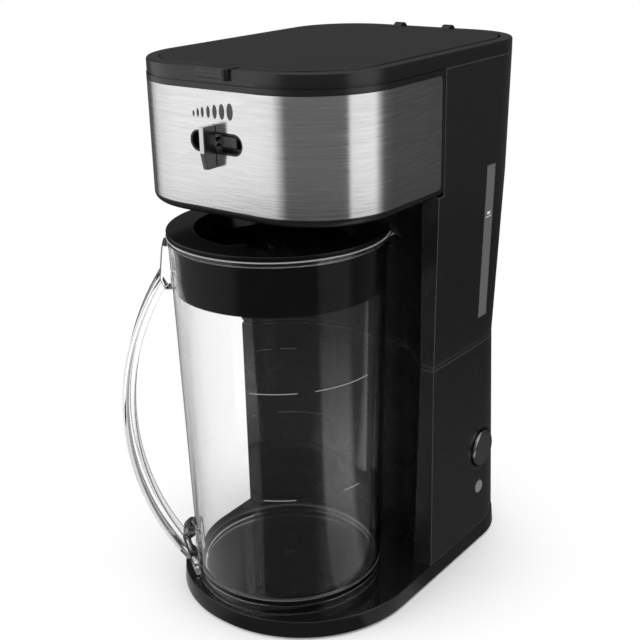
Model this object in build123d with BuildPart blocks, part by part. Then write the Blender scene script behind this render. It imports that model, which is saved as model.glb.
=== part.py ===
from build123d import *
import os
from math import atan2, cos, degrees, hypot, radians, sin

# Iced tea maker with a clear pitcher, a rear water tank and a brew head with a hinged lid.
# The pitcher's axis is the Z axis, the surface it stands on is z = 0, and the front faces -Y.

os.makedirs("parts", exist_ok=True)

# ---------------------------------------------------------------- driving dimensions, in mm
# Base
foot_proud = 1.5              # feet stand this far below the base
foot_radius = 7.0
foot_seat = 1.2               # depth of the feet's seats in the base cover
foot_x = 50.0
foot_front_y = -26.0
foot_rear_y = 132.0
base_height = 10.3
base_lip = 0.9                # base stands out past the column's sides
base_draft = 4.0              # degrees
base_front_y = -61.3
base_front_radius = 75.0
base_rear_lip = 1.0
base_wall = 2.6
cover_thickness = 2.2
cover_gap = 0.3
vent_length = 26.0
vent_width = 3.0
vent_pitch = 7.0
vent_count = 6

# Column: lower housing, then the water tank above the seam
column_half_base = 76.1
column_taper = 0.4            # narrower at the seam
tank_flare = 1.7              # wider again at the head
column_rear_base = 158.0
rear_tuck = 7.5               # rear wall leans in up to the seam
rear_flare = 7.0              # and out again up to the head
rear_rise = 3.0
column_rear_corner = 42.0
column_wall = 2.4
arm_front_y = 48.5            # flat faces either side of the pitcher bay
bay_radius_base = 80.0
bay_draft = 2.4
seam_z = 145.6
seam_reveal = 2.4             # height of the shadow gap
seam_depth = 0.8
spigot_height = 4.0
spigot_thickness = 1.8
spigot_gap = 0.3
tank_floor = 2.6

# Brew head
head_bottom_z = 252.2
head_gap = 0.3                # seam between the head and the tank
frame_reveal = 0.4            # groove under the lid's frame
reveal_depth = 0.9
head_front_y = -48.7
head_front_radius = 50.0
head_back_y = 54.0            # the tank's front wall behind the head
head_wall = 2.6
head_floor = 2.4
head_edge = 4.0               # rounding under the front
outlet_hole_radius = 10.0

# Brushed panel
panel_thickness = 0.6
panel_bottom_z = 256.9
panel_top_z = 319.9
panel_end_y = 50.0
panel_corner = 3.0
panel_gap = 0.05

# Strength selector
slot_x = 0.1
slot_z = 292.6
slot_length = 36.2
slot_height = 11.6
slot_depth = 5.0
slot_rim = 1.0
slot_back = 1.2
stem_radius = 2.6
stem_gap = 0.3
knob_x = -1.7                 # where the knob stands in its slot
knob_thickness = 3.4
knob_depth = 9.2
knob_top_z = 302.2
knob_shoulder_z = 288.4
knob_bottom_z = 279.6
knob_tail_depth = 7.2
knob_clearance = 0.4
slider_width = 22.0
slider_height = 14.0
slider_thickness = 1.4
slider_gap = 0.3
finger_width = 6.0
gate_width = 20.0
gate_depth = 5.2
gate_thickness = 1.2
port_x = 19.0
port_width = 4.0
port_depth = 2.6

# Lid frame, lid and hinge
frame_bottom_z = 323.5
frame_top_z = 331.15
frame_inset = 0.5             # the frame's front stands back from the panel
frame_rim = 7.0
frame_ledge = 12.0
frame_rear_corner = 42.0
frame_edge = 1.2
lid_gap = 0.5
lid_rise = 0.5                # the lid stands proud of its frame
lid_thickness = 2.4
lid_seat_gap = 0.3
lid_edge = 0.6
tongue_width = 22.0
tongue_reach = 2.3
tongue_drop = 6.4
tongue_gap = 0.4
tongue_rib = 0.5
knuckle_x = 18.0
knuckle_width = 5.6
knuckle_radius = 4.4
knuckle_gap = 0.35
hinge_inset = 6.0             # hinge axis to the frame's rear face
hinge_drop = 1.9              # hinge axis below the frame's top
hinge_gap = 3.2               # hinge axis to the lid's rear edge
pin_radius = 1.1
pin_length = 15.0
pin_running_gap = 0.06
liner_gap = 0.5              # liner's underside above the tank's edge
liner_wall = 1.6
liner_radius = 34.0
channel_half_width = 11.0
shower_hole_radius = 2.0
shower_hole_count = 12
shower_ring_radius = 22.0

# Brew deck, basket and filter
deck_z = 315.5                # underside of the deck plate
deck_thickness = 2.0
deck_gap = 0.4
well_radius = 37.6
well_wall = 1.8
basket_radius = 36.0
basket_wall = 1.8
basket_draft = 4.0            # the basket narrows by this much to its floor
basket_floor_z = 260.0
basket_flange = 3.6
basket_flange_thickness = 1.8
outlet_radius = 6.0
outlet_wall = 1.6
outlet_tip_z = 247.0
filter_gap = 0.6
filter_ring_height = 5.0
filter_ring_wall = 2.0
filter_floor_z = 266.0
filter_rib_count = 4
filter_rib_width = 3.0
filter_rib_depth = 1.4
filter_post_width = 3.0
mesh_thickness = 0.5
mesh_gap = 0.05
filter_grip_height = 12.0
filter_grip_width = 16.0
filter_grip_thickness = 2.4

# Pitcher
pitcher_seat_gap = 0.1
pitcher_foot_radius = 57.8
pitcher_rim_radius = 63.0
pitcher_rim_z = 234.5
pitcher_wall = 2.5
pitcher_floor_z = 20.3        # top of the floor inside
pitcher_floor = 2.6
pitcher_fillet = 4.0
bead_height = 3.4
bead_proud = 1.3
nub_radius = 2.0
nub_height = 0.7
spout_azimuth = 41.0
spout_reach = 71.4
spout_half_width = 12.0
spout_drop = 8.0
spout_height = 22.0
spout_wall = 1.8
handle_azimuth = 221.0
bow_radius = 163.0            # outer face of the handle's bow
bow_centre_r = -66.7
bow_centre_z = 121.5
bow_half_angle = 36.5
grip_width = 20.0
grip_thickness = 3.0
rib_width = 11.0
rib_depth = 3.8
root_half_width = 11.5
top_root_low_z = 202.5
top_root_mid_z = 210.5
top_root_proud = 3.9          # out from the wall at the root's lower edge
top_root_mid_proud = 6.6
top_root_high_proud = 3.8
low_root_proud = 2.4
low_root_mid_proud = 5.4
low_root_high_proud = 8.2
low_root_mid_z = 27.5
low_root_high_z = 39.5
low_root_top_z = 44.0
root_sink = 5.0               # roots start this far inside the wall's face, cut back to it

# Pitcher lid
pitcher_lid_radius = 64.0
pitcher_lid_thickness = 2.6
pitcher_lid_gap = 0.15
skirt_bottom_z = 202.2
skirt_gap = 0.4
skirt_thickness = 1.8
dish_radius = 48.0
dish_floor_radius = 45.0
dish_floor_z = 225.0
dish_wall = 2.0
drain_radius = 4.9
drain_collar = 1.6
drain_collar_height = 1.2
strainer_slot_width = 3.2
strainer_slot_height = 14.0
strainer_slot_count = 5
strainer_slot_pitch = 6.0     # degrees

# Start button and light, on the right-hand side of the lower housing
button_y = 108.5
button_z = 70.7
button_radius = 12.0
button_proud = 3.0
button_thickness = 3.6
button_edge = 1.8
button_travel = 1.8
button_stem_radius = 2.8
button_stop_radius = 3.8
button_stop = 0.9
bezel_radius = 14.6
bezel_proud = 0.6
bezel_depth = 8.4
bezel_web = 1.5
bezel_gap = 0.3
spring_radius = 5.0
spring_wire = 0.45
spring_turns = 3
light_y = 107.8
light_z = 41.9
light_radius = 4.3
light_proud = 0.8
light_depth = 4.0
board_x = 56.0
board_thickness = 1.6
board_low_y = 92.0
board_high_y = 126.0
board_low_z = 34.0
board_high_z = 94.0
switch_size = 12.0
switch_height = 4.0
switch_cap_radius = 3.0
relay_size = 15.0
relay_height = 12.0
board_post_radius = 3.2
board_post_inset = 6.0

# Water window
window_low_y = 105.1
window_high_y = 108.3
window_width = 9.6
window_low_z = 164.1
window_high_z = 259.7
window_gap = 0.1

# Heater and plumbing
heater_z = 36.0               # water tube's axis
heater_pitch = 26.0           # distance between the two legs
heater_right_x = 20.0
heater_width = 14.0
heater_height = 23.0
heater_rise = 11.0            # element's axis above the water tube's
tube_radius = 4.6
tube_bore = 3.4
tube_end = 9.0
element_radius = 3.6
element_end = 3.0
terminal_radius = 1.4
terminal_length = 5.0
terminal_drop = 3.2
bracket_width = 10.0
bracket_thickness = 1.2
bracket_foot = 7.4
bracket_side_gap = 0.8
bracket_foot_drop = 4.0
bracket_x = 17.0
bracket_centre_x = -5.0
bracket_gap = 0.1
bracket_post_radius = 4.0
thermostat_radius = 7.5
thermostat_height = 6.0
thermostat_tab = 7.0
thermostat_inset = 4.0
thermostat_plate = 27.0
thermostat_plate_width = 9.0
tab_pitch = 8.0
fuse_radius = 2.2
fuse_length = 12.0
hose_inset = 24.0             # hoses to the column's left-hand side
hose_run = 0.7
hose_overlap = 1.0
hose_wall = 2.0
hose_bend = 12.0
hose_fit_gap = 0.05
valve_radius = 8.0
valve_length = 20.0
valve_bore = 5.0
valve_seat_radius = 2.2
ball_radius = 3.4
ball_lift = 2.5
ball_gap = 0.3
riser_run_z = 304.0
riser_bend = 12.0
nozzle_y = 66.0
nozzle_radius = 8.0
nozzle_height = 8.0
nozzle_gap = 0.5
seal_radius = 9.0
seal_height = 7.0
strainer_radius = 10.0
strainer_height = 7.0
clip_width = 5.0
clip_thickness = 1.0
clip_inset = 0.6              # clips back from the water tube's ends

# Mains inlet
gland_x = 22.0
gland_z = 30.0
gland_radius = 5.6
gland_bore = 3.6
gland_flange_radius = 8.0
gland_flange = 2.0
gland_depth = 10.0
terminal_block_x = 52.0
terminal_block_clear = 7.0    # block's middle to the bay's back
terminal_block_length = 30.0
terminal_block_width = 12.0
terminal_block_height = 9.0
terminal_hole_depth = 4.0
lead_radius = 1.1
lead_bend = 2.0
lead_spacing = 4.0
lead_fuse_gap = 3.0
lead_back_x = 12.0
lead_back_y = 5.0

# Screws
screw_radius = 1.5
screw_head_radius = 3.0
screw_head_height = 1.3
screw_length = 11.0
screw_gap = 0.05
boss_radius = 4.0
front_screw_x = 34.0
front_screw_y = -40.0
side_screw_y = 78.0
rear_screw_x = 30.0
tank_screw_front_y = 80.0
tank_screw_rear_y = 117.0
tank_screw_inset = 10.0
tank_boss_height = 12.0
tab_thickness = 2.5
head_screw_z = 313.0
head_screw_inset = 9.0
head_boss_length = 12.0

# ---------------------------------------------------------------- levels and places worked out
column_half_seam = column_half_base - column_taper
column_half_top = column_half_seam + tank_flare
column_rear_seam = column_rear_base - rear_tuck
column_rear_head = column_rear_seam + rear_flare
column_rear_top = column_rear_head + rear_rise
base_half_width = column_half_base + base_lip
base_rear_y = column_rear_base + base_rear_lip
bay_radius_seam = bay_radius_base + bay_draft
heater_mid_y = (bay_radius_base + column_rear_seam) / 2
heater_front_y = heater_mid_y - heater_pitch / 2
hose_x = hose_inset - column_half_seam
heater_left_x = hose_x + hose_bend + hose_run + tube_end
terminal_block_y = bay_radius_base + terminal_block_clear
cover_bottom_z = foot_proud
cover_top_z = cover_bottom_z + cover_thickness
base_top_z = foot_proud + base_height
head_half_width = column_half_top
frame_rear_y = column_rear_top
frame_front_y = head_front_y + frame_inset
lid_top_z = frame_top_z + lid_rise
lid_bottom_z = lid_top_z - lid_thickness
liner_low_z = frame_bottom_z + liner_gap
hinge_y = frame_rear_y - hinge_inset
hinge_z = frame_top_z - hinge_drop
deck_top_z = deck_z + deck_thickness
slot_face_y = head_front_y
slot_back_y = slot_face_y + slot_depth
heater_rear_y = heater_front_y + heater_pitch
heater_bottom_z = heater_z - tube_radius - 2.0
heater_top_z = heater_bottom_z + heater_height
bracket_top_z = heater_top_z + bracket_gap
bracket_front_y = heater_front_y - heater_width / 2 - bracket_side_gap
bracket_rear_y = heater_rear_y + heater_width / 2 + bracket_side_gap
bracket_foot_z = heater_bottom_z - bracket_foot_drop
bracket_screw_y = bracket_thickness + screw_head_radius + 0.3
tube_left_x = heater_left_x - tube_end
hose_radius = tube_radius + hose_wall
tank_inside_z = seam_z + tank_floor
pitcher_bottom_z = base_top_z + pitcher_seat_gap
tank_corner_y = [tank_screw_front_y, tank_screw_rear_y]


def between(z, low_z, low, high_z, high):
    """Straight-line value at z."""
    return low + (high - low) * (z - low_z) / (high_z - low_z)


def housing_side_x(z):
    """Half width of the lower housing at height z."""
    return between(z, base_top_z, column_half_base, seam_z, column_half_seam)


def housing_rear_y(z):
    return between(z, base_top_z, column_rear_base, seam_z, column_rear_seam)


def pitcher_radius(z):
    """Outside radius of the pitcher's wall at height z."""
    return between(z, pitcher_bottom_z, pitcher_foot_radius, pitcher_rim_z, pitcher_rim_radius)


def rounded_plan(z, half_width, front, rear, front_radius, rear_radius):
    """Four-sided plan with one radius at the front corners and one at the rear."""
    front_radius = min(front_radius, half_width - 1.0)
    rear_radius = min(rear_radius, half_width - 1.0)
    with BuildSketch(Plane.XY.offset(z)) as plan:
        with Locations((0, (front + rear) / 2)):
            Rectangle(2 * half_width, rear - front)
        if front_radius > 0:
            fillet(plan.vertices().group_by(Axis.Y)[0], front_radius)
        if rear_radius > 0:
            fillet(plan.vertices().group_by(Axis.Y)[-1], rear_radius)
    return plan.sketch


def disc(z, radius):
    with BuildSketch(Plane.XY.offset(z)) as plan:
        Circle(radius)
    return plan.sketch


def column_block(low, high, front, inset=0.0, bay=None):
    """Column between two levels (z, half width, rear), with the pitcher bay cut out of it."""
    plans = [
        rounded_plan(z, half - inset, front + inset, rear - inset, 0, column_rear_corner - inset)
        for z, half, rear in (low, high)
    ]
    with BuildPart() as block:
        loft(sections=plans, ruled=True)
        if bay:
            loft(sections=[disc(low[0], bay[0] + inset), disc(high[0], bay[1] + inset)],
                 ruled=True, mode=Mode.SUBTRACT)
    return block.part


def head_plan(z, inset=0.0, back=head_back_y):
    return rounded_plan(z, head_half_width - inset, head_front_y + inset, back,
                        head_front_radius - inset, 0)


def frame_plan(z, inset=0.0, rear_extra=0.0):
    return rounded_plan(z, head_half_width - inset, frame_front_y + inset,
                        frame_rear_y - inset - rear_extra,
                        head_front_radius - inset, frame_rear_corner - inset)


def screws(places, axis_plane):
    """Pan-head screws: head outside the plane, shank inwards along its normal."""
    with BuildPart() as group:
        for place in places:
            with BuildSketch(Plane(origin=place, x_dir=axis_plane.x_dir, z_dir=axis_plane.z_dir)):
                Circle(screw_head_radius)
            extrude(amount=screw_head_height)
            with BuildSketch(Plane(origin=place, x_dir=axis_plane.x_dir, z_dir=axis_plane.z_dir)):
                Circle(screw_radius)
            extrude(amount=screw_head_height + screw_length)
            with BuildSketch(Plane(origin=place, x_dir=axis_plane.x_dir, z_dir=axis_plane.z_dir)):
                Rectangle(screw_head_radius * 1.3, 0.7)
                Rectangle(0.7, screw_head_radius * 1.3)
            extrude(amount=screw_head_height / 2, mode=Mode.SUBTRACT)
    return group.part


def tube(points, bends, radius, bore=0.0):
    """Round tube or rod along straight runs joined by tangent arcs."""
    with BuildLine() as route:
        if len(points) > 2:
            FilletPolyline(*points, radius=bends)
        else:
            Line(*points)
    start = Plane(origin=route.line @ 0, z_dir=route.line % 0)
    with BuildPart() as run:
        with BuildSketch(start):
            Circle(radius)
            if bore:
                Circle(bore, mode=Mode.SUBTRACT)
        sweep(path=route.line)
    return run.part


# ---------------------------------------------------------------- base
side_screw_x = housing_side_x(base_top_z) - column_wall - boss_radius + 0.6
rear_screw_y = housing_rear_y(base_top_z) - column_wall - boss_radius + 0.6
front_screws = [(x, front_screw_y) for x in (-front_screw_x, front_screw_x)]
housing_screws = [(-side_screw_x, side_screw_y), (side_screw_x, side_screw_y),
                  (-rear_screw_x, rear_screw_y), (rear_screw_x, rear_screw_y)]
# four feet at the corners, and one under the pitcher's middle that carries its weight
feet_places = [(x, y) for x in (-foot_x, foot_x) for y in (foot_front_y, foot_rear_y)]
feet_places.append((0, 0))
column_opening = column_block(
    (base_top_z - base_wall - 1, column_half_base, column_rear_base),
    (base_top_z + 1, column_half_base, column_rear_base),
    arm_front_y, inset=column_wall + 1.0, bay=(bay_radius_base, bay_radius_base))

with BuildPart() as base_plate:
    with BuildSketch(Plane.XY.offset(cover_bottom_z)):
        add(rounded_plan(0, base_half_width, base_front_y, base_rear_y,
                         base_front_radius, column_rear_corner))
    extrude(amount=base_height, taper=base_draft)
    fillet(base_plate.faces().sort_by(Axis.Z)[-1].edges(), 0.8)
    with BuildSketch(Plane.XY.offset(cover_bottom_z)):
        add(rounded_plan(0, base_half_width - base_wall, base_front_y + base_wall,
                         base_rear_y - base_wall, base_front_radius - base_wall,
                         column_rear_corner - base_wall))
    extrude(amount=base_height - base_wall, mode=Mode.SUBTRACT)
    with BuildSketch(Plane.XY.offset(cover_top_z)):
        with Locations(*front_screws):
            Circle(boss_radius)
    extrude(amount=base_top_z - base_wall - cover_top_z)
    with BuildSketch(Plane.XY.offset(cover_top_z)):
        with Locations(*front_screws):
            Circle(screw_radius + screw_gap)
    extrude(amount=base_top_z - base_wall - cover_top_z, mode=Mode.SUBTRACT)
    add(column_opening, mode=Mode.SUBTRACT)
    with BuildSketch(Plane.XY.offset(cover_top_z)):
        with Locations(*housing_screws):
            Circle(boss_radius + cover_gap)
    extrude(amount=base_top_z - cover_top_z, mode=Mode.SUBTRACT)
base_plate.part.label = "base_plate"
export_step(base_plate.part, "parts/base_plate.step")

with BuildPart() as base_cover:
    with BuildSketch(Plane.XY.offset(cover_bottom_z)):
        inset = base_wall + cover_gap
        add(rounded_plan(0, base_half_width - inset, base_front_y + inset, base_rear_y - inset,
                         base_front_radius - inset, column_rear_corner - inset))
    extrude(amount=cover_thickness)
    with BuildSketch(Plane.XY.offset(cover_bottom_z)):
        with Locations(*feet_places):
            Circle(foot_radius + screw_gap)
    extrude(amount=foot_seat, mode=Mode.SUBTRACT)
    with BuildSketch(Plane.XY.offset(cover_bottom_z)):
        with Locations(*front_screws, *housing_screws):
            Circle(screw_head_radius + 0.4)
    extrude(amount=screw_head_height + 0.1, mode=Mode.SUBTRACT)
    with BuildSketch(Plane.XY.offset(cover_bottom_z)):
        with Locations(*front_screws, *housing_screws):
            Circle(screw_radius + screw_gap)
    extrude(amount=cover_thickness, mode=Mode.SUBTRACT)
    with BuildSketch(Plane.XY.offset(cover_bottom_z)):
        with Locations((0, heater_front_y - heater_width)):
            with GridLocations(vent_pitch, 0, vent_count, 1):
                SlotOverall(vent_length, vent_width, rotation=90)
    extrude(amount=cover_thickness, mode=Mode.SUBTRACT)
    bracket_posts = [(bracket_centre_x + s * bracket_x, y) for s in (-1, 1)
                     for y in (bracket_front_y - bracket_screw_y, bracket_rear_y + bracket_screw_y)]
    with BuildSketch(Plane.XY.offset(cover_top_z)):
        with Locations(*bracket_posts):
            Circle(bracket_post_radius)
    extrude(amount=bracket_foot_z - cover_top_z)
    with BuildSketch(Plane.XY.offset(bracket_foot_z)):
        with Locations(*bracket_posts):
            Circle(screw_radius + screw_gap)
    extrude(amount=cover_top_z + 3.0 - bracket_foot_z, mode=Mode.SUBTRACT)
base_cover.part.label = "base_cover"
export_step(base_cover.part, "parts/base_cover.step")

with BuildPart() as feet:
    with BuildSketch(Plane.XY):
        with Locations(*feet_places):
            Circle(foot_radius)
    extrude(amount=foot_proud + foot_seat)
    chamfer(feet.faces().group_by(Axis.Z)[0].edges(), 0.4)
feet.part.label = "feet"
export_step(feet.part, "parts/feet.step")

with BuildPart() as base_screws:
    add(screws([(x, y, cover_bottom_z) for x, y in front_screws + housing_screws], Plane.XY))
    with BuildSketch(Plane.XY.offset(base_top_z - base_wall)):
        with Locations(*front_screws):
            Circle(boss_radius)
    extrude(amount=screw_length, mode=Mode.SUBTRACT)
base_screws.part.label = "base_screws"
export_step(base_screws.part, "parts/base_screws.step")

# ---------------------------------------------------------------- lower housing
housing_low = (base_top_z, column_half_base, column_rear_base)
housing_high = (seam_z, column_half_seam, column_rear_seam)
tab_top_z = seam_z - tank_boss_height
tank_screw_x = housing_side_x(tab_top_z) - column_wall - tank_screw_inset
button_wall_x = housing_side_x(button_z)
board_face_x = board_x + board_thickness
board_posts = [(board_low_y + board_post_inset, board_high_z - board_post_inset),
               (board_high_y - board_post_inset, board_high_z - board_post_inset),
               (board_low_y + board_post_inset, board_low_z + board_post_inset)]
gland_wall_y = housing_rear_y(gland_z)

with BuildPart() as lower_housing:
    add(column_block(housing_low, housing_high, arm_front_y,
                     bay=(bay_radius_base, bay_radius_seam)))
    add(column_block(housing_low, housing_high, arm_front_y, inset=column_wall,
                     bay=(bay_radius_base, bay_radius_seam)), mode=Mode.SUBTRACT)
    # screw bosses standing on the base cover
    with BuildSketch(Plane.XY.offset(cover_top_z)):
        with Locations(*housing_screws):
            Circle(boss_radius)
    extrude(amount=screw_length + 8.0)
    with BuildSketch(Plane.XY.offset(cover_top_z)):
        with Locations(*housing_screws):
            Circle(screw_radius + screw_gap)
    extrude(amount=screw_length, mode=Mode.SUBTRACT)
    # tabs under the tank's bosses
    for side in (-1, 1):
        for y in tank_corner_y:
            reach = tank_screw_inset + boss_radius
            with BuildSketch(Plane.XY.offset(tab_top_z - tab_thickness)):
                with Locations((side * (tank_screw_x + (tank_screw_inset - boss_radius) / 2), y)):
                    Rectangle(reach + 0.5, 2 * boss_radius)
                with Locations((side * tank_screw_x, y)):
                    Circle(screw_radius + 0.2, mode=Mode.SUBTRACT)
            extrude(amount=tab_thickness)
    # posts for the control board
    with BuildSketch(Plane.YZ.offset(board_face_x)):
        with Locations(*board_posts):
            Circle(board_post_radius)
    extrude(amount=housing_side_x(board_high_z) - column_wall / 2 - board_face_x)
    with BuildSketch(Plane.YZ.offset(board_face_x)):
        with Locations(*board_posts):
            Circle(screw_radius + screw_gap)
    extrude(amount=screw_length - board_thickness, mode=Mode.SUBTRACT)
    # start button, light and mains inlet
    with BuildSketch(Plane.YZ.offset(board_face_x + 10.0)):
        with Locations((button_y, button_z)):
            Circle(bezel_radius + bezel_gap / 3)
        with Locations((light_y, light_z)):
            Circle(light_radius + window_gap)
    extrude(amount=column_half_top, mode=Mode.SUBTRACT)
    with BuildSketch(Plane.XZ.offset(-gland_wall_y - gland_depth)):
        with Locations((gland_x, gland_z)):
            Circle(gland_radius + screw_gap)
    extrude(amount=2 * gland_depth, mode=Mode.SUBTRACT)
lower_housing.part.label = "lower_housing"
export_step(lower_housing.part, "parts/lower_housing.step")

# ---------------------------------------------------------------- water tank
tank_low = (seam_z + seam_reveal, column_half_seam, column_rear_seam)
tank_mid = (head_bottom_z, column_half_top, column_rear_head)
tank_high = (frame_bottom_z, column_half_top, column_rear_top)
tank_bay = (bay_radius_seam, bay_radius_seam)


def tank_level(z):
    """Tank's plan values at a height below the head."""
    return (z, between(z, tank_low[0], tank_low[1], tank_mid[0], tank_mid[1]),
            between(z, tank_low[0], tank_low[2], tank_mid[0], tank_mid[2]))


def upper_level(z):
    return (z, column_half_top, between(z, tank_mid[0], tank_mid[2], tank_high[0], tank_high[2]))


outlet_x, outlet_y = hose_x, heater_front_y
riser_x, riser_y = hose_x, heater_rear_y

groove_low = (frame_bottom_z - frame_reveal, column_half_top, column_rear_top)
groove_high = (frame_bottom_z + frame_reveal, column_half_top, column_rear_top)
with BuildPart() as tank_groove:
    add(column_block(groove_low, groove_high, head_back_y))
    add(column_block(groove_low, groove_high, head_back_y, inset=reveal_depth),
        mode=Mode.SUBTRACT)

with BuildPart() as tank_blank:
    add(column_block(tank_low, tank_mid, arm_front_y, bay=tank_bay))
    add(column_block(tank_mid, tank_high, head_back_y))
    add(column_block((seam_z, *housing_high[1:]), (tank_low[0], *housing_high[1:]), arm_front_y,
                     inset=seam_depth, bay=tank_bay))
    add(column_block(tank_level(tank_inside_z), tank_level(head_bottom_z - column_wall),
                     arm_front_y, inset=column_wall, bay=tank_bay), mode=Mode.SUBTRACT)
    add(column_block(tank_level(head_bottom_z - column_wall),
                     (head_bottom_z + column_wall, column_half_top, column_rear_head),
                     head_back_y, inset=column_wall, bay=tank_bay), mode=Mode.SUBTRACT)
    add(column_block((head_bottom_z + column_wall, column_half_top, column_rear_head), tank_high,
                     head_back_y, inset=column_wall), mode=Mode.SUBTRACT)


def window_bar(gap):
    """Slanted strip through the right-hand wall, smaller by a gap all round."""
    half = window_width / 2 - gap
    with BuildPart() as bar:
        with BuildSketch(Plane.YZ.offset(column_half_seam - 3 * column_wall)):
            with BuildLine():
                Polyline((window_low_y - half, window_low_z + gap),
                         (window_low_y + half, window_low_z + gap),
                         (window_high_y + half, window_high_z - gap),
                         (window_high_y - half, window_high_z - gap), close=True)
            make_face()
        extrude(amount=6 * column_wall)
    return bar.part


with BuildPart() as tank_shell:
    add(tank_blank.part)
    add(window_bar(0), mode=Mode.SUBTRACT)
    add(tank_groove.part, mode=Mode.SUBTRACT)
    # locating rim inside the lower housing
    rim = column_wall + spigot_gap
    add(column_block((seam_z - spigot_height, *housing_high[1:]), housing_high, arm_front_y,
                     inset=rim, bay=tank_bay))
    add(column_block((seam_z - spigot_height, *housing_high[1:]), housing_high, arm_front_y,
                     inset=rim + spigot_thickness, bay=tank_bay), mode=Mode.SUBTRACT)
    # screw bosses under the floor
    corners = [(side * tank_screw_x, y) for side in (-1, 1) for y in tank_corner_y]
    with BuildSketch(Plane.XY.offset(tab_top_z)):
        with Locations(*corners):
            Circle(boss_radius)
    extrude(amount=tank_boss_height)
    with BuildSketch(Plane.XY.offset(tab_top_z)):
        with Locations(*corners):
            Circle(screw_radius + screw_gap)
    extrude(amount=tank_boss_height - 1.0, mode=Mode.SUBTRACT)
    # outlet and riser holes through the floor
    with BuildSketch(Plane.XY.offset(seam_z)):
        with Locations((outlet_x, outlet_y)):
            Circle(valve_bore)
        with Locations((riser_x, riser_y)):
            Circle(seal_radius - 2.0)
    extrude(amount=tank_floor + 1.0, mode=Mode.SUBTRACT)
    # screw holes to the head
    for side in (-1, 1):
        with BuildSketch(Plane.XZ.offset(-head_back_y)):
            with Locations((side * (head_half_width - head_screw_inset), head_screw_z)):
                Circle(screw_radius + screw_gap)
        extrude(amount=-2 * column_wall, mode=Mode.SUBTRACT)
tank_shell.part.label = "tank_shell"
export_step(tank_shell.part, "parts/tank_shell.step")

with BuildPart() as water_window:
    add(tank_blank.part)
    add(window_bar(window_gap), mode=Mode.INTERSECT)
water_window.part.label = "water_window"
export_step(water_window.part, "parts/water_window.step")

with BuildPart() as housing_screws_group:
    add(screws([(side * tank_screw_x, y, tab_top_z - tab_thickness - screw_head_height)
                for side in (-1, 1) for y in tank_corner_y], Plane.XY))
housing_screws_group.part.label = "tank_screws"
export_step(housing_screws_group.part, "parts/tank_screws.step")

# ---------------------------------------------------------------- brew head


def panel_band(gap):
    """Side view of the panel, cut through the whole width, grown by a gap."""
    with BuildPart() as band:
        with BuildSketch(Plane.YZ.offset(-head_half_width - 1)) as view:
            low, high = panel_bottom_z - gap, panel_top_z + gap
            front, end = head_front_y - 1, panel_end_y + gap
            with Locations(((front + end) / 2, (low + high) / 2)):
                Rectangle(end - front, high - low)
            fillet(view.vertices().group_by(Axis.X)[-1], panel_corner)
        extrude(amount=2 * head_half_width + 2)
    return band.part


def panel_skin(depth, gap):
    """Skin of the head's outline, depth thick, within the panel's side view."""
    height = panel_top_z - panel_bottom_z + 4
    with BuildPart() as skin:
        with BuildSketch(Plane.XY.offset(panel_bottom_z - 2)):
            add(head_plan(0, back=head_back_y))
            add(head_plan(0, inset=depth, back=head_back_y + 1), mode=Mode.SUBTRACT)
        extrude(amount=height)
        add(panel_band(gap), mode=Mode.INTERSECT)
    return skin.part


def slot_bar(length, height, start, depth, x=slot_x):
    """Rounded bar along Y on the selector's axis."""
    with BuildPart() as bar:
        with BuildSketch(Plane.XZ.offset(-start)):
            with Locations((x, slot_z)):
                SlotOverall(length, height)
        extrude(amount=-depth)
    return bar.part


with BuildPart() as head_shell:
    add(head_plan(head_bottom_z, back=head_back_y - head_gap))
    extrude(amount=frame_bottom_z - head_bottom_z)
    bottom_edges = head_shell.faces().sort_by(Axis.Z)[0].edges()
    fillet(bottom_edges.sort_by(Axis.Y)[:-1], head_edge)
    with BuildSketch(Plane.XY.offset(head_bottom_z + head_floor)):
        add(head_plan(0, inset=head_wall, back=head_back_y))
    extrude(amount=frame_bottom_z - head_bottom_z - head_floor, mode=Mode.SUBTRACT)
    with BuildSketch(Plane.XY.offset(frame_bottom_z - frame_reveal)):
        add(head_plan(0))
        add(head_plan(0, inset=reveal_depth), mode=Mode.SUBTRACT)
    extrude(amount=frame_reveal, mode=Mode.SUBTRACT)
    with BuildSketch(Plane.XY.offset(head_bottom_z)):
        Circle(outlet_hole_radius + 4.0)
    extrude(amount=-1.6)
    with BuildSketch(Plane.XY.offset(head_bottom_z - 2)):
        Circle(outlet_hole_radius)
    extrude(amount=head_floor + 4, mode=Mode.SUBTRACT)
    for side in (-1, 1):
        with BuildSketch(Plane.XZ.offset(-head_back_y)):
            with Locations((side * (head_half_width - head_screw_inset), head_screw_z)):
                Circle(boss_radius)
                Rectangle(2 * (head_screw_inset - head_wall / 2), 3.0)
        extrude(amount=head_boss_length)
    for side in (-1, 1):
        with BuildSketch(Plane.XZ.offset(-head_back_y)):
            with Locations((side * (head_half_width - head_screw_inset), head_screw_z)):
                Circle(screw_radius + screw_gap)
        extrude(amount=head_boss_length - 1.0, mode=Mode.SUBTRACT)
    add(panel_skin(panel_thickness + panel_gap, panel_gap), mode=Mode.SUBTRACT)
    add(slot_bar(slot_length + 2 * slot_rim + 0.1, slot_height + 2 * slot_rim + 0.1,
                 slot_face_y, 2 * head_wall), mode=Mode.SUBTRACT)
head_shell.part.label = "head_shell"
export_step(head_shell.part, "parts/head_shell.step")

with BuildPart() as front_panel:
    add(panel_skin(panel_thickness, 0))
    add(slot_bar(slot_length + 0.1, slot_height + 0.1, slot_face_y - 1, 3 * panel_thickness),
        mode=Mode.SUBTRACT)
front_panel.part.label = "front_panel"
export_step(front_panel.part, "parts/front_panel.step")

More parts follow.
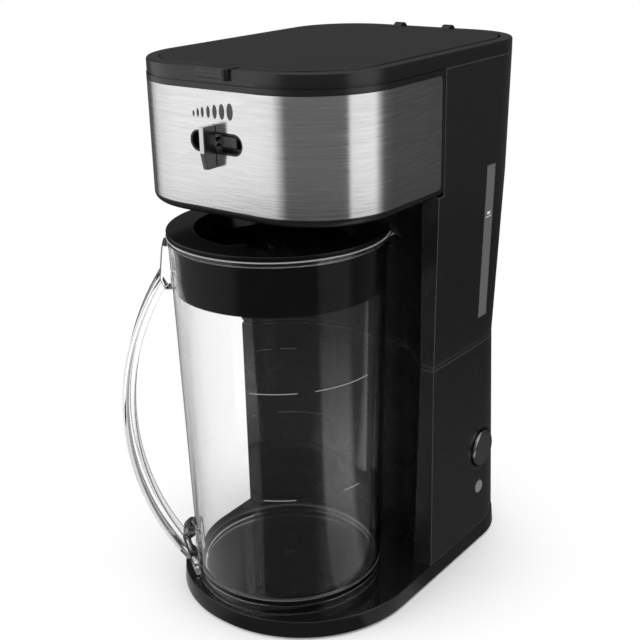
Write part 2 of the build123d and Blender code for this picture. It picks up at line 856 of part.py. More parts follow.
stem_slot_length = slot_length - slot_height + 2 * (stem_radius + stem_gap)
with BuildPart() as slot_bezel:
    add(slot_bar(slot_length, slot_height, slot_face_y + 0.2, slot_depth - 0.2))
    add(slot_bar(slot_length + 2 * slot_rim, slot_height + 2 * slot_rim,
                 slot_face_y + panel_thickness + panel_gap, slot_depth - panel_thickness - panel_gap))
    add(slot_bar(slot_length - 2 * slot_rim, slot_height - 2 * slot_rim, slot_face_y,
                 slot_depth - slot_back), mode=Mode.SUBTRACT)
    add(slot_bar(stem_slot_length, 2 * (stem_radius + stem_gap), slot_face_y, slot_depth),
        mode=Mode.SUBTRACT)
slot_bezel.part.label = "slot_bezel"
export_step(slot_bezel.part, "parts/slot_bezel.step")

slider_front_y = slot_back_y + slider_gap
knob_back_y = head_front_y - knob_clearance
with BuildPart() as strength_knob:
    with BuildSketch(Plane.YZ.offset(knob_x - knob_thickness / 2)):
        with BuildLine():
            Polyline((knob_back_y, knob_bottom_z), (knob_back_y, knob_top_z),
                     (head_front_y - knob_depth, knob_top_z),
                     (head_front_y - knob_depth, knob_shoulder_z),
                     (head_front_y - knob_tail_depth, knob_bottom_z), close=True)
        make_face()
    extrude(amount=knob_thickness)
    fillet(strength_knob.faces().sort_by(Axis.Y)[0].edges().filter_by(Axis.X), 0.5)
    chamfer(strength_knob.edges().filter_by(Axis.Z).group_by(Axis.Y)[0], 0.35)
    with BuildSketch(Plane.XZ.offset(-knob_back_y)):
        with Locations((knob_x, slot_z)):
            Circle(stem_radius)
    extrude(amount=-(slider_front_y - knob_back_y))
strength_knob.part.label = "strength_knob"
export_step(strength_knob.part, "parts/strength_knob.step")

finger_top_z = deck_top_z + 0.3 + gate_thickness
with BuildPart() as strength_slider:
    with BuildSketch(Plane.XZ.offset(-slider_front_y)):
        with Locations((knob_x, slot_z)):
            Rectangle(slider_width, slider_height)
    extrude(amount=-slider_thickness)
    with BuildSketch(Plane.XZ.offset(-slider_front_y)):
        with Locations((knob_x, (slot_z + finger_top_z) / 2)):
            Rectangle(finger_width, finger_top_z - slot_z)
    extrude(amount=-slider_thickness)
strength_slider.part.label = "strength_slider"
export_step(strength_slider.part, "parts/strength_slider.step")

gate_front_y = slider_front_y - (gate_depth - slider_thickness) / 2
with BuildPart() as bypass_gate:
    with BuildSketch(Plane.XY.offset(deck_top_z + 0.3)):
        with Locations((knob_x, gate_front_y + gate_depth / 2)):
            Rectangle(gate_width, gate_depth)
            Rectangle(finger_width + 0.1, slider_thickness + 0.1, mode=Mode.SUBTRACT)
    extrude(amount=gate_thickness)
bypass_gate.part.label = "bypass_gate"
export_step(bypass_gate.part, "parts/bypass_gate.step")

with BuildPart() as head_screws:
    add(screws([(side * (head_half_width - head_screw_inset), head_back_y + column_wall
                 + screw_head_height, head_screw_z) for side in (-1, 1)],
               Plane(origin=(0, 0, 0), x_dir=(1, 0, 0), z_dir=(0, -1, 0))))
head_screws.part.label = "head_screws"
export_step(head_screws.part, "parts/head_screws.step")

# ---------------------------------------------------------------- brew deck, basket and filter
slide_span = slot_length - slot_height + finger_width + 1.0
with BuildPart() as brew_deck:
    with BuildSketch(Plane.XY.offset(deck_z)):
        add(head_plan(0, inset=head_wall + deck_gap, back=head_back_y - deck_gap))
        Circle(well_radius, mode=Mode.SUBTRACT)
        for side in (-1, 1):
            with Locations((side * (head_half_width - head_screw_inset), head_back_y)):
                Rectangle(4 * boss_radius, 2 * head_boss_length + 1.0, mode=Mode.SUBTRACT)
        with Locations((slot_x, slider_front_y + slider_thickness / 2)):
            Rectangle(slide_span, slider_thickness + 0.6, mode=Mode.SUBTRACT)
        with Locations((port_x, slider_front_y + slider_thickness / 2)):
            Rectangle(port_width, port_depth, mode=Mode.SUBTRACT)
    extrude(amount=deck_thickness)
    with BuildSketch(Plane.XY.offset(head_bottom_z + head_floor)):
        Circle(well_radius + well_wall)
        Circle(well_radius, mode=Mode.SUBTRACT)
    extrude(amount=deck_z - head_bottom_z - head_floor)
brew_deck.part.label = "brew_deck"
export_step(brew_deck.part, "parts/brew_deck.step")

basket_top_z = deck_top_z + 0.1 + basket_flange_thickness
with BuildPart() as brew_basket:
    with BuildSketch(Plane.XZ):
        with BuildLine():
            low = basket_radius - basket_draft
            Polyline((outlet_radius - outlet_wall, outlet_tip_z),
                     (outlet_radius, outlet_tip_z),
                     (outlet_radius, basket_floor_z),
                     (low, basket_floor_z + 2.0),
                     (basket_radius, basket_top_z - basket_flange_thickness),
                     (basket_radius + basket_flange, basket_top_z - basket_flange_thickness),
                     (basket_radius + basket_flange, basket_top_z),
                     (basket_radius - basket_wall, basket_top_z),
                     (low - basket_wall, basket_floor_z + 2.0 + basket_wall),
                     (outlet_radius - outlet_wall, basket_floor_z + basket_wall), close=True)
        make_face()
    revolve(axis=Axis.Z)
brew_basket.part.label = "brew_basket"
export_step(brew_basket.part, "parts/brew_basket.step")


def basket_inside(z):
    """Radius inside the basket's wall at height z."""
    return between(z, basket_floor_z + 2.0 + basket_wall, basket_radius - basket_draft,
                   basket_top_z, basket_radius) - basket_wall


filter_top_z = basket_top_z
filter_ring_low = filter_top_z - filter_ring_height
with BuildPart() as filter_frame:
    with BuildSketch(Plane.XZ):
        with BuildLine():
            Polyline((basket_inside(filter_ring_low) - filter_gap, filter_ring_low),
                     (basket_inside(filter_top_z) - filter_gap, filter_top_z),
                     (basket_inside(filter_top_z) - filter_gap - filter_ring_wall, filter_top_z),
                     (basket_inside(filter_ring_low) - filter_gap - filter_ring_wall,
                      filter_ring_low), close=True)
        make_face()
    revolve(axis=Axis.Z)
    foot = basket_inside(filter_floor_z) - filter_gap
    top = basket_inside(filter_ring_low + 1.0) - filter_gap
    foot_inner = basket_inside(filter_floor_z + filter_rib_depth) - filter_gap - filter_rib_depth
    with BuildPart(mode=Mode.PRIVATE) as rib_blank:
        with BuildSketch(Plane.XZ.offset(-filter_rib_width / 2)):
            with BuildLine():
                Polyline((foot, filter_floor_z), (top, filter_ring_low + 1.0),
                         (top - filter_rib_depth, filter_ring_low + 1.0),
                         (foot_inner, filter_floor_z + filter_rib_depth),
                         (0, filter_floor_z + filter_rib_depth), (0, filter_floor_z), close=True)
            make_face()
        extrude(amount=filter_rib_width)
    for k in range(filter_rib_count):
        add(rib_blank.part.rotate(Axis.Z, (k + 0.5) * 360 / filter_rib_count))
    with BuildSketch(Plane.XY.offset(filter_floor_z)):
        Circle(foot)
        Circle(foot - filter_ring_wall, mode=Mode.SUBTRACT)
    extrude(amount=filter_rib_depth)
    # upright grip in the middle, on the ribs' crossing
    with BuildSketch(Plane.XZ.offset(-filter_grip_thickness / 2)):
        with Locations((0, filter_floor_z + 0.7 + (filter_top_z - filter_floor_z) / 2)):
            Rectangle(filter_post_width, filter_top_z - filter_floor_z - filter_rib_depth)
        with Locations((0, filter_top_z - filter_grip_height / 2)):
            RectangleRounded(filter_grip_width, filter_grip_height, 3.0)
    extrude(amount=filter_grip_thickness)
filter_frame.part.label = "filter_frame"
export_step(filter_frame.part, "parts/filter_frame.step")

with BuildPart() as filter_mesh:
    mesh_low = filter_floor_z + filter_rib_depth + mesh_gap
    mesh_high = filter_ring_low - mesh_gap
    inset = filter_gap + filter_rib_depth + mesh_gap
    with BuildSketch(Plane.XZ):
        with BuildLine():
            Polyline((filter_post_width, mesh_low),
                     (basket_inside(mesh_low) - inset, mesh_low),
                     (basket_inside(mesh_high) - inset, mesh_high),
                     (basket_inside(mesh_high) - inset - mesh_thickness, mesh_high),
                     (basket_inside(mesh_low) - inset - mesh_thickness,
                      mesh_low + mesh_thickness),
                     (filter_post_width, mesh_low + mesh_thickness), close=True)
        make_face()
    revolve(axis=Axis.Z)
filter_mesh.part.label = "filter_mesh"
export_step(filter_mesh.part, "parts/filter_mesh.step")

# ---------------------------------------------------------------- lid frame, lid and hinge
knuckle_places = (-knuckle_x, knuckle_x)
with BuildPart() as lid_frame:
    add(frame_plan(frame_bottom_z))
    extrude(amount=frame_top_z - frame_bottom_z)
    fillet(lid_frame.faces().sort_by(Axis.Z)[-1].edges(), frame_edge)
    with BuildSketch(Plane.XY.offset(lid_bottom_z - lid_seat_gap)):
        add(frame_plan(0, inset=frame_rim))
    extrude(amount=lid_thickness + 2, mode=Mode.SUBTRACT)
    with BuildSketch(Plane.XY.offset(frame_bottom_z)):
        add(frame_plan(0, inset=frame_ledge))
    extrude(amount=frame_top_z - frame_bottom_z, mode=Mode.SUBTRACT)
    # notch for the lid's tongue
    with BuildSketch(Plane.XY.offset(lid_bottom_z - lid_seat_gap)):
        with Locations((0, frame_front_y + frame_ledge / 2 - 1)):
            Rectangle(tongue_width + 2 * lid_gap, frame_ledge + 2)
    extrude(amount=lid_thickness + 2, mode=Mode.SUBTRACT)
    # notches for the lid's knuckles, and the pin holes beside them
    for x in knuckle_places:
        with BuildSketch(Plane.YZ.offset(x - knuckle_width / 2 - knuckle_gap)):
            with Locations((hinge_y, hinge_z)):
                Circle(knuckle_radius + knuckle_gap)
            with Locations((hinge_y, hinge_z + knuckle_radius)):
                Rectangle(2 * (knuckle_radius + knuckle_gap), 2 * knuckle_radius)
            with Locations((hinge_y - knuckle_radius, hinge_z + knuckle_radius - lid_seat_gap)):
                Rectangle(2 * knuckle_radius, 2 * knuckle_radius)
        extrude(amount=knuckle_width + 2 * knuckle_gap, mode=Mode.SUBTRACT)
        with BuildSketch(Plane.YZ.offset(x - pin_length / 2)):
            with Locations((hinge_y, hinge_z)):
                Circle(pin_radius + 0.02)
        extrude(amount=pin_length, mode=Mode.SUBTRACT)
lid_frame.part.label = "lid_frame"
export_step(lid_frame.part, "parts/lid_frame.step")

with BuildPart() as hinge_pins:
    for x in knuckle_places:
        with BuildSketch(Plane.YZ.offset(x - pin_length / 2)):
            with Locations((hinge_y, hinge_z)):
                Circle(pin_radius)
        extrude(amount=pin_length)
hinge_pins.part.label = "hinge_pins"
export_step(hinge_pins.part, "parts/hinge_pins.step")

lid_inset = frame_rim + lid_gap
lid_rear_extra = frame_rear_y - lid_inset - (hinge_y - hinge_gap)
tongue_front_y = frame_front_y - tongue_gap - tongue_reach
with BuildPart() as lid:
    add(frame_plan(lid_bottom_z, inset=lid_inset, rear_extra=lid_rear_extra))
    extrude(amount=lid_thickness)
    fillet(lid.faces().sort_by(Axis.Z)[-1].edges(), lid_edge)
    # tongue over the frame, with a ribbed lip hanging in front of it
    with BuildSketch(Plane.XY.offset(lid_bottom_z)) as tongue:
        with Locations((0, (tongue_front_y + frame_front_y + lid_inset + 1) / 2)):
            Rectangle(tongue_width, frame_front_y + lid_inset + 1 - tongue_front_y)
        fillet(tongue.vertices().group_by(Axis.Y)[0], 2.0)
    extrude(amount=lid_thickness)
    with BuildSketch(Plane.XY.offset(lid_top_z - tongue_drop)) as lip:
        with Locations((0, tongue_front_y + tongue_reach / 2)):
            Rectangle(tongue_width, tongue_reach)
        fillet(lip.vertices().group_by(Axis.Y)[0], 2.0)
    extrude(amount=tongue_drop - lid_thickness + 0.4)
    for drop in (0.35, 0.65):
        with BuildSketch(Plane.XY.offset(lid_top_z - drop * tongue_drop)):
            with Locations((0, tongue_front_y)):
                Rectangle(tongue_width - 5.0, 2 * tongue_rib)
        extrude(amount=1.0)
    for x in knuckle_places:
        with BuildSketch(Plane.YZ.offset(x - knuckle_width / 2)):
            with Locations((hinge_y, hinge_z)):
                Circle(knuckle_radius)
            with BuildLine():
                Polyline((hinge_y - hinge_gap - 2, lid_bottom_z),
                         (hinge_y, lid_bottom_z),
                         (hinge_y, hinge_z + knuckle_radius),
                         (hinge_y - hinge_gap - 2, lid_top_z - 0.2), close=True)
            make_face()
        extrude(amount=knuckle_width)
        with BuildSketch(Plane.YZ.offset(x - knuckle_width / 2)):
            with Locations((hinge_y, hinge_z)):
                Circle(pin_radius + pin_running_gap)
        extrude(amount=knuckle_width, mode=Mode.SUBTRACT)
lid.part.label = "lid"
export_step(lid.part, "parts/lid.step")


def liner_plan(z, inset):
    """Round tray over the basket, with a channel back to the riser's nozzle."""
    with BuildSketch(Plane.XY.offset(z)) as plan:
        Circle(liner_radius - inset)
        with Locations((0, (nozzle_y + channel_half_width) / 2)):
            Rectangle(2 * (channel_half_width - inset), nozzle_y + channel_half_width - 2 * inset)
    return plan.sketch


with BuildPart() as lid_liner:
    add(liner_plan(liner_low_z, 0))
    extrude(amount=lid_bottom_z - liner_low_z)
    add(liner_plan(liner_low_z + liner_wall, liner_wall))
    extrude(amount=lid_bottom_z - liner_low_z - liner_wall, mode=Mode.SUBTRACT)
    with BuildSketch(Plane.XY.offset(liner_low_z)):
        with PolarLocations(shower_ring_radius, shower_hole_count):
            Circle(shower_hole_radius)
        with Locations((0, nozzle_y)):
            Circle(channel_half_width / 2)
    extrude(amount=liner_wall, mode=Mode.SUBTRACT)
lid_liner.part.label = "lid_liner"
export_step(lid_liner.part, "parts/lid_liner.step")

# ---------------------------------------------------------------- pitcher
bead_low_z = pitcher_rim_z - bead_height
spout_low_z = pitcher_rim_z - spout_height


def pitcher_envelope():
    """Solid of the pitcher's outside, wall and bead, without handle or spout."""
    with BuildPart() as envelope:
        with BuildSketch(Plane.XZ):
            with BuildLine():
                Polyline((0, pitcher_bottom_z), (pitcher_foot_radius, pitcher_bottom_z),
                         (pitcher_radius(bead_low_z), bead_low_z),
                         (pitcher_radius(bead_low_z) + bead_proud, bead_low_z + bead_proud / 2),
                         (pitcher_rim_radius + bead_proud, pitcher_rim_z),
                         (0, pitcher_rim_z), close=True)
            make_face()
        revolve(axis=Axis.Z)
    return envelope.part


def spout_beak(inset):
    """Beak that grows out of the wall towards its tip and droops, along +X."""
    root = pitcher_radius(spout_low_z) - pitcher_wall
    with BuildPart() as beak:
        with BuildSketch(Plane.XY.offset(pitcher_rim_z)) as mouth:
            with BuildLine():
                Polyline((root, -spout_half_width + inset), (spout_reach - inset, -2.0),
                         (spout_reach - inset, 2.0), (root, spout_half_width - inset), close=True)
            make_face()
            fillet(mouth.vertices().group_by(Axis.X)[-1], 1.6)
        with BuildSketch(Plane.XY.offset(spout_low_z)) as throat:
            with BuildLine():
                Polyline((root, -3.0 + inset / 2), (pitcher_radius(spout_low_z) + 0.4 - inset, -1.0),
                         (pitcher_radius(spout_low_z) + 0.4 - inset, 1.0),
                         (root, 3.0 - inset / 2), close=True)
            make_face()
            fillet(throat.vertices().group_by(Axis.X)[-1], 0.8)
        loft(sections=[throat.sketch, mouth.sketch], ruled=True)
        # the top edge falls away from the rim to the tip
        with BuildSketch(Plane.XZ.offset(-spout_half_width - 1)):
            with BuildLine():
                Polyline((pitcher_rim_radius, pitcher_rim_z + 1),
                         (spout_reach + 4, pitcher_rim_z + 1),
                         (spout_reach + 4, pitcher_rim_z - spout_drop - 3),
                         (spout_reach, pitcher_rim_z - spout_drop),
                         (pitcher_rim_radius, pitcher_rim_z - 1), close=True)
            make_face()
        extrude(amount=2 * spout_half_width + 2, mode=Mode.SUBTRACT)
    return beak.part


with BuildPart() as pitcher_body:
    add(pitcher_envelope())
    add(spout_beak(0).rotate(Axis.Z, spout_azimuth))
    with BuildSketch(Plane.XZ):
        with BuildLine():
            Polyline((0, pitcher_floor_z),
                     (pitcher_radius(pitcher_floor_z) - pitcher_wall, pitcher_floor_z),
                     (pitcher_rim_radius - pitcher_wall, pitcher_rim_z),
                     (0, pitcher_rim_z), close=True)
        inside = make_face()
        fillet(inside.vertices().group_by(Axis.Y)[0].sort_by(Axis.X)[-1], pitcher_fillet)
    revolve(axis=Axis.Z, mode=Mode.SUBTRACT)
    add(spout_beak(spout_wall).rotate(Axis.Z, spout_azimuth), mode=Mode.SUBTRACT)
    with BuildSketch(Plane.XY.offset(pitcher_bottom_z)):
        Circle(pitcher_foot_radius - pitcher_wall)
    extrude(amount=pitcher_floor_z - pitcher_floor - pitcher_bottom_z, mode=Mode.SUBTRACT)
    with BuildSketch(Plane.XY.offset(pitcher_floor_z)):
        Circle(nub_radius)
    extrude(amount=nub_height, taper=30)
pitcher_body.part.label = "pitcher_body"
export_step(pitcher_body.part, "parts/pitcher_body.step")

bow_end = radians(bow_half_angle)
top_root_z = pitcher_rim_z - bead_height - 1.6
low_root_z = pitcher_bottom_z + 0.2
with BuildLine(Plane.XZ) as bow:
    CenterArc((bow_centre_r, bow_centre_z), bow_radius, -bow_half_angle, 2 * bow_half_angle)
bow_start = Plane(origin=bow.line @ 0, x_dir=(0, 1, 0), z_dir=bow.line % 0)
with BuildPart() as handle_blank:
    with BuildSketch(bow_start) as section:
        with Locations((0, grip_thickness / 2)):
            Rectangle(grip_width, grip_thickness)
        fillet(section.vertices(), 1.1)
        with Locations((0, grip_thickness + rib_depth / 2 - 0.5)):
            Rectangle(rib_width, rib_depth + 1.0)
        fillet(section.vertices().sort_by(Axis.Y)[-2:], 1.1)
    sweep(path=bow.line)
    # roots that sit on the wall under the rim and at the foot
    for corners in (
        [(-root_sink, top_root_low_z), (top_root_proud, top_root_low_z),
         (top_root_mid_proud, top_root_mid_z), (top_root_high_proud, top_root_z),
         (-root_sink, top_root_z)],
        [(-root_sink, low_root_z), (low_root_proud, low_root_z),
         (low_root_mid_proud, low_root_mid_z), (low_root_high_proud, low_root_high_z),
         (low_root_proud, low_root_top_z), (-root_sink, low_root_top_z)],
    ):
        outline = [(pitcher_radius(z) + out, z) for out, z in corners]
        with BuildSketch(Plane.XZ.offset(-root_half_width)):
            with BuildLine():
                Polyline(*outline, close=True)
            make_face()
        extrude(amount=2 * root_half_width)

with BuildPart() as pitcher_handle:
    add(handle_blank.part.rotate(Axis.Z, handle_azimuth))
    add(pitcher_envelope(), mode=Mode.SUBTRACT)
pitcher_handle.part.label = "pitcher_handle"
export_step(pitcher_handle.part, "parts/pitcher_handle.step")


def skirt_radius(z):
    return pitcher_radius(z) - pitcher_wall - skirt_gap


flange_low_z = pitcher_rim_z + pitcher_lid_gap
flange_high_z = flange_low_z + pitcher_lid_thickness
with BuildPart() as pitcher_lid:
    with BuildSketch(Plane.XZ):
        with BuildLine():
            Polyline((drain_radius, dish_floor_z - dish_wall),
                     (dish_floor_radius + dish_wall, dish_floor_z - dish_wall),
                     (dish_radius + dish_wall, flange_low_z),
                     (skirt_radius(flange_low_z) - skirt_thickness, flange_low_z),
                     (skirt_radius(skirt_bottom_z) - skirt_thickness, skirt_bottom_z),
                     (skirt_radius(skirt_bottom_z), skirt_bottom_z),
                     (skirt_radius(flange_low_z), flange_low_z),
                     (pitcher_lid_radius, flange_low_z),
                     (pitcher_lid_radius, flange_high_z),
                     (dish_radius, flange_high_z),
                     (dish_floor_radius, dish_floor_z),
                     (drain_radius + drain_collar, dish_floor_z),
                     (drain_radius + drain_collar, dish_floor_z + drain_collar_height),
                     (drain_radius, dish_floor_z + drain_collar_height), close=True)
        make_face()
    revolve(axis=Axis.Z)
    fillet(pitcher_lid.faces().filter_by(Axis.Z).sort_by(Axis.Z)[-1].edges(), 0.7)
    # strainer slots through the skirt in front of the spout
    slot_mid_z = (skirt_bottom_z + flange_low_z) / 2 + 2.0
    with BuildPart(mode=Mode.PRIVATE) as strainer_slot:
        with BuildSketch(Plane.YZ.offset(dish_radius + dish_wall + 1.0)):
            with Locations((0, slot_mid_z)):
                SlotOverall(strainer_slot_height, strainer_slot_width, rotation=90)
        extrude(amount=pitcher_rim_radius - dish_radius)
    for k in range(strainer_slot_count):
        turn = spout_azimuth + (k - (strainer_slot_count - 1) / 2) * strainer_slot_pitch
        add(strainer_slot.part.rotate(Axis.Z, turn), mode=Mode.SUBTRACT)
pitcher_lid.part.label = "pitcher_lid"
export_step(pitcher_lid.part, "parts/pitcher_lid.step")

# ---------------------------------------------------------------- start button, light and board
bezel_face_x = button_wall_x + bezel_proud
bezel_back_x = bezel_face_x - bezel_depth
cap_back_x = button_wall_x + button_proud - button_thickness
stop_x = bezel_back_x - 0.1
with BuildPart() as button_bezel:
    with BuildSketch(Plane.YZ.offset(bezel_back_x)):
        with Locations((button_y, button_z)):
            Circle(bezel_radius)
    extrude(amount=bezel_depth)
    chamfer(button_bezel.faces().sort_by(Axis.X)[-1].edges(), 0.5)
    with BuildSketch(Plane.YZ.offset(bezel_back_x + bezel_web)):
        with Locations((button_y, button_z)):
            Circle(button_radius + bezel_gap)
    extrude(amount=bezel_depth, mode=Mode.SUBTRACT)
    with BuildSketch(Plane.YZ.offset(bezel_back_x)):
        with Locations((button_y, button_z)):
            Circle(button_stem_radius + bezel_gap)
    extrude(amount=bezel_web, mode=Mode.SUBTRACT)
    chamfer(button_bezel.faces().sort_by(Axis.X)[-1].inner_wires().edges(), 0.7)
button_bezel.part.label = "button_bezel"
export_step(button_bezel.part, "parts/button_bezel.step")

with BuildPart() as start_button:
    with BuildSketch(Plane.YZ.offset(cap_back_x)):
        with Locations((button_y, button_z)):
            Circle(button_radius)
    extrude(amount=button_thickness)
    fillet(start_button.faces().sort_by(Axis.X)[-1].edges(), button_edge)
    with BuildSketch(Plane.YZ.offset(stop_x - button_stop)):
        with Locations((button_y, button_z)):
            Circle(button_stem_radius)
    extrude(amount=cap_back_x - stop_x + button_stop)
    with BuildSketch(Plane.YZ.offset(stop_x - button_stop)):
        with Locations((button_y, button_z)):
            Circle(button_stop_radius)
    extrude(amount=button_stop)
start_button.part.label = "start_button"
export_step(start_button.part, "parts/start_button.step")

spring_low_x = bezel_back_x + bezel_web + spring_wire
spring_rise = cap_back_x - 2 * spring_wire - (bezel_back_x + bezel_web)
quarter_count = 4 * spring_turns


def spring_point(quarters):
    """Point of the coil's centre line after so many quarter turns."""
    turn = radians(90 * quarters)
    return (spring_low_x + spring_rise * quarters / quarter_count,
            button_y + spring_radius * cos(turn), button_z + spring_radius * sin(turn))


with BuildPart() as button_spring:
    with BuildLine() as coil:
        for k in range(quarter_count):
            ThreePointArc(spring_point(k), spring_point(k + 0.5), spring_point(k + 1))
    with BuildSketch(Plane(origin=coil.line @ 0, z_dir=coil.line % 0)):
        Circle(spring_wire)
    sweep(path=coil.line)
print("button spring: least gap between turns",
      round(spring_rise / spring_turns - 2 * spring_wire, 2), "mm")
button_spring.part.label = "button_spring"
export_step(button_spring.part, "parts/button_spring.step")

with BuildPart() as indicator_lens:
    light_wall_x = housing_side_x(light_z)
    with BuildSketch(Plane.YZ.offset(light_wall_x - light_depth)):
        with Locations((light_y, light_z)):
            Circle(light_radius)
    extrude(amount=light_depth + light_proud)
    fillet(indicator_lens.faces().sort_by(Axis.X)[-1].edges(), light_proud)
indicator_lens.part.label = "indicator_lens"
export_step(indicator_lens.part, "parts/indicator_lens.step")

with BuildPart() as control_board:
    with BuildSketch(Plane.YZ.offset(board_x)):
        with Locations(((board_low_y + board_high_y) / 2, (board_low_z + board_high_z) / 2)):
            Rectangle(board_high_y - board_low_y, board_high_z - board_low_z)
        with Locations(*board_posts):
            Circle(screw_radius + screw_gap, mode=Mode.SUBTRACT)
    extrude(amount=board_thickness)
    with BuildSketch(Plane.YZ.offset(board_x)):
        with Locations(((board_low_y + board_high_y) / 2, board_high_z - relay_size)):
            Rectangle(relay_size, relay_size)
    extrude(amount=-relay_height)
control_board.part.label = "control_board"
export_step(control_board.part, "parts/control_board.step")

switch_gap = 0.2
switch_top_x = stop_x - button_stop - button_travel - switch_gap
with BuildPart() as start_switch:
    with BuildSketch(Plane.YZ.offset(board_face_x)):
        with Locations((button_y, button_z)):
            Rectangle(switch_size, switch_size)
    extrude(amount=switch_height)
    with BuildSketch(Plane.YZ.offset(board_face_x + switch_height)):
        with Locations((button_y, button_z)):
            Circle(switch_cap_radius)
    extrude(amount=switch_top_x - board_face_x - switch_height)
start_switch.part.label = "start_switch"
export_step(start_switch.part, "parts/start_switch.step")

lamp_front_x = light_wall_x - light_depth - 0.3
with BuildPart() as indicator_lamp:
    with BuildSketch(Plane.YZ.offset(board_face_x)):
        with Locations((light_y, light_z)):
            Circle(light_radius - 1.8)
    extrude(amount=lamp_front_x - board_face_x)
    fillet(indicator_lamp.faces().sort_by(Axis.X)[-1].edges(), 1.6)
    with BuildSketch(Plane.YZ.offset(board_face_x)):
        with Locations((light_y, light_z)):
            Circle(light_radius - 1.0)
    extrude(amount=2.0)
indicator_lamp.part.label = "indicator_lamp"
export_step(indicator_lamp.part, "parts/indicator_lamp.step")

with BuildPart() as board_screws:
    add(screws([(board_x - screw_head_height, y, z) for y, z in board_posts], Plane.YZ))
board_screws.part.label = "board_screws"
export_step(board_screws.part, "parts/board_screws.step")

# ---------------------------------------------------------------- heater
heater_bend = heater_pitch / 2


def leg_route(extra, z):
    """U-shaped centre line, its ends lengthened to the left."""
    left = heater_left_x - extra
    with BuildLine(Plane.XY.offset(z)) as route:
        front = Line((left, heater_front_y), (heater_right_x, heater_front_y))
        bend = CenterArc((heater_right_x, heater_front_y + heater_bend), heater_bend, -90, 180)
        Line((heater_right_x, heater_rear_y), (left, heater_rear_y))
    return route.line


def leg_rod(extra, z, radius, bore=0.0):
    route = leg_route(extra, z)
    with BuildPart() as rod:
        with BuildSketch(Plane(origin=route @ 0, z_dir=route % 0)):
            Circle(radius)
            if bore:
                Circle(bore, mode=Mode.SUBTRACT)
        sweep(path=route)
    return rod.part


element_z = heater_z + heater_rise
with BuildPart() as heater_block:
    block_route = leg_route(0, (heater_bottom_z + heater_top_z) / 2)
    with BuildSketch(Plane(origin=block_route @ 0, x_dir=(0, 1, 0), z_dir=block_route % 0)) as bar:
        RectangleRounded(heater_width, heater_height, 3.0)
    sweep(path=block_route)
    add(leg_rod(0, heater_z, tube_radius + screw_gap), mode=Mode.SUBTRACT)
    add(leg_rod(0, element_z, element_radius + screw_gap), mode=Mode.SUBTRACT)
heater_block.part.label = "heater_block"
export_step(heater_block.part, "parts/heater_block.step")

with BuildPart() as heater_tube:
    add(leg_rod(tube_end, heater_z, tube_radius, tube_bore))
heater_tube.part.label = "heater_tube"
export_step(heater_tube.part, "parts/heater_tube.step")

with BuildPart() as heater_element:
    add(leg_rod(element_end, element_z, element_radius))
    add(leg_rod(element_end + terminal_length, element_z, terminal_radius))
heater_element.part.label = "heater_element"
export_step(heater_element.part, "parts/heater_element.step")

with BuildPart() as heater_brackets:
    for side in (-1, 1):
        x = bracket_centre_x + side * bracket_x
        t = bracket_thickness
        with BuildSketch(Plane.YZ.offset(x - bracket_width / 2)):
            with BuildLine():
                Polyline((bracket_front_y - bracket_foot, bracket_foot_z),
                         (bracket_front_y, bracket_foot_z),
                         (bracket_front_y, bracket_top_z),
                         (bracket_rear_y, bracket_top_z),
                         (bracket_rear_y, bracket_foot_z),
                         (bracket_rear_y + bracket_foot, bracket_foot_z),
                         (bracket_rear_y + bracket_foot, bracket_foot_z + t),
                         (bracket_rear_y + t, bracket_foot_z + t),
                         (bracket_rear_y + t, bracket_top_z + t),
                         (bracket_front_y - t, bracket_top_z + t),
                         (bracket_front_y - t, bracket_foot_z + t),
                         (bracket_front_y - bracket_foot, bracket_foot_z + t), close=True)
            make_face()
        extrude(amount=bracket_width)
    with BuildSketch(Plane.XY.offset(bracket_foot_z)):
        with Locations(*bracket_posts):
            Circle(screw_radius + screw_gap)
    extrude(amount=bracket_thickness, mode=Mode.SUBTRACT)
heater_brackets.part.label = "heater_brackets"
export_step(heater_brackets.part, "parts/heater_brackets.step")

with BuildPart() as bracket_screws:
    add(screws([(x, y, bracket_foot_z + bracket_thickness + screw_head_height)
                for x, y in bracket_posts], Plane(origin=(0, 0, 0), x_dir=(1, 0, 0),
                                                  z_dir=(0, 0, -1))))
bracket_screws.part.label = "bracket_screws"
export_step(bracket_screws.part, "parts/bracket_screws.step")

with BuildPart() as thermostat:
    thermostat_x = heater_right_x + heater_bend - thermostat_inset
    with BuildSketch(Plane.XY.offset(heater_top_z)):
        with Locations((thermostat_x, heater_front_y + heater_bend)):
            Circle(thermostat_radius)
    extrude(amount=thermostat_height)
    with BuildSketch(Plane.XY.offset(heater_top_z)):
        with Locations((thermostat_x, heater_front_y + heater_bend)):
            SlotOverall(thermostat_plate, thermostat_plate_width, rotation=90)
    extrude(amount=1.0)
    with BuildSketch(Plane.XY.offset(heater_top_z + thermostat_height)):
        with Locations((thermostat_x, heater_front_y + heater_bend)):
            with GridLocations(0, tab_pitch, 1, 2):
                Rectangle(6.3, 0.8)
    extrude(amount=thermostat_tab)
thermostat.part.label = "thermostat"
export_step(thermostat.part, "parts/thermostat.step")

with BuildPart() as thermal_fuse:
    fuse_z = heater_top_z + fuse_radius + 0.05
    add(tube([(bracket_centre_x - fuse_length / 2, heater_rear_y, fuse_z),
              (bracket_centre_x + fuse_length / 2, heater_rear_y, fuse_z)], 0, fuse_radius))
thermal_fuse.part.label = "thermal_fuse"
export_step(thermal_fuse.part, "parts/thermal_fuse.step")

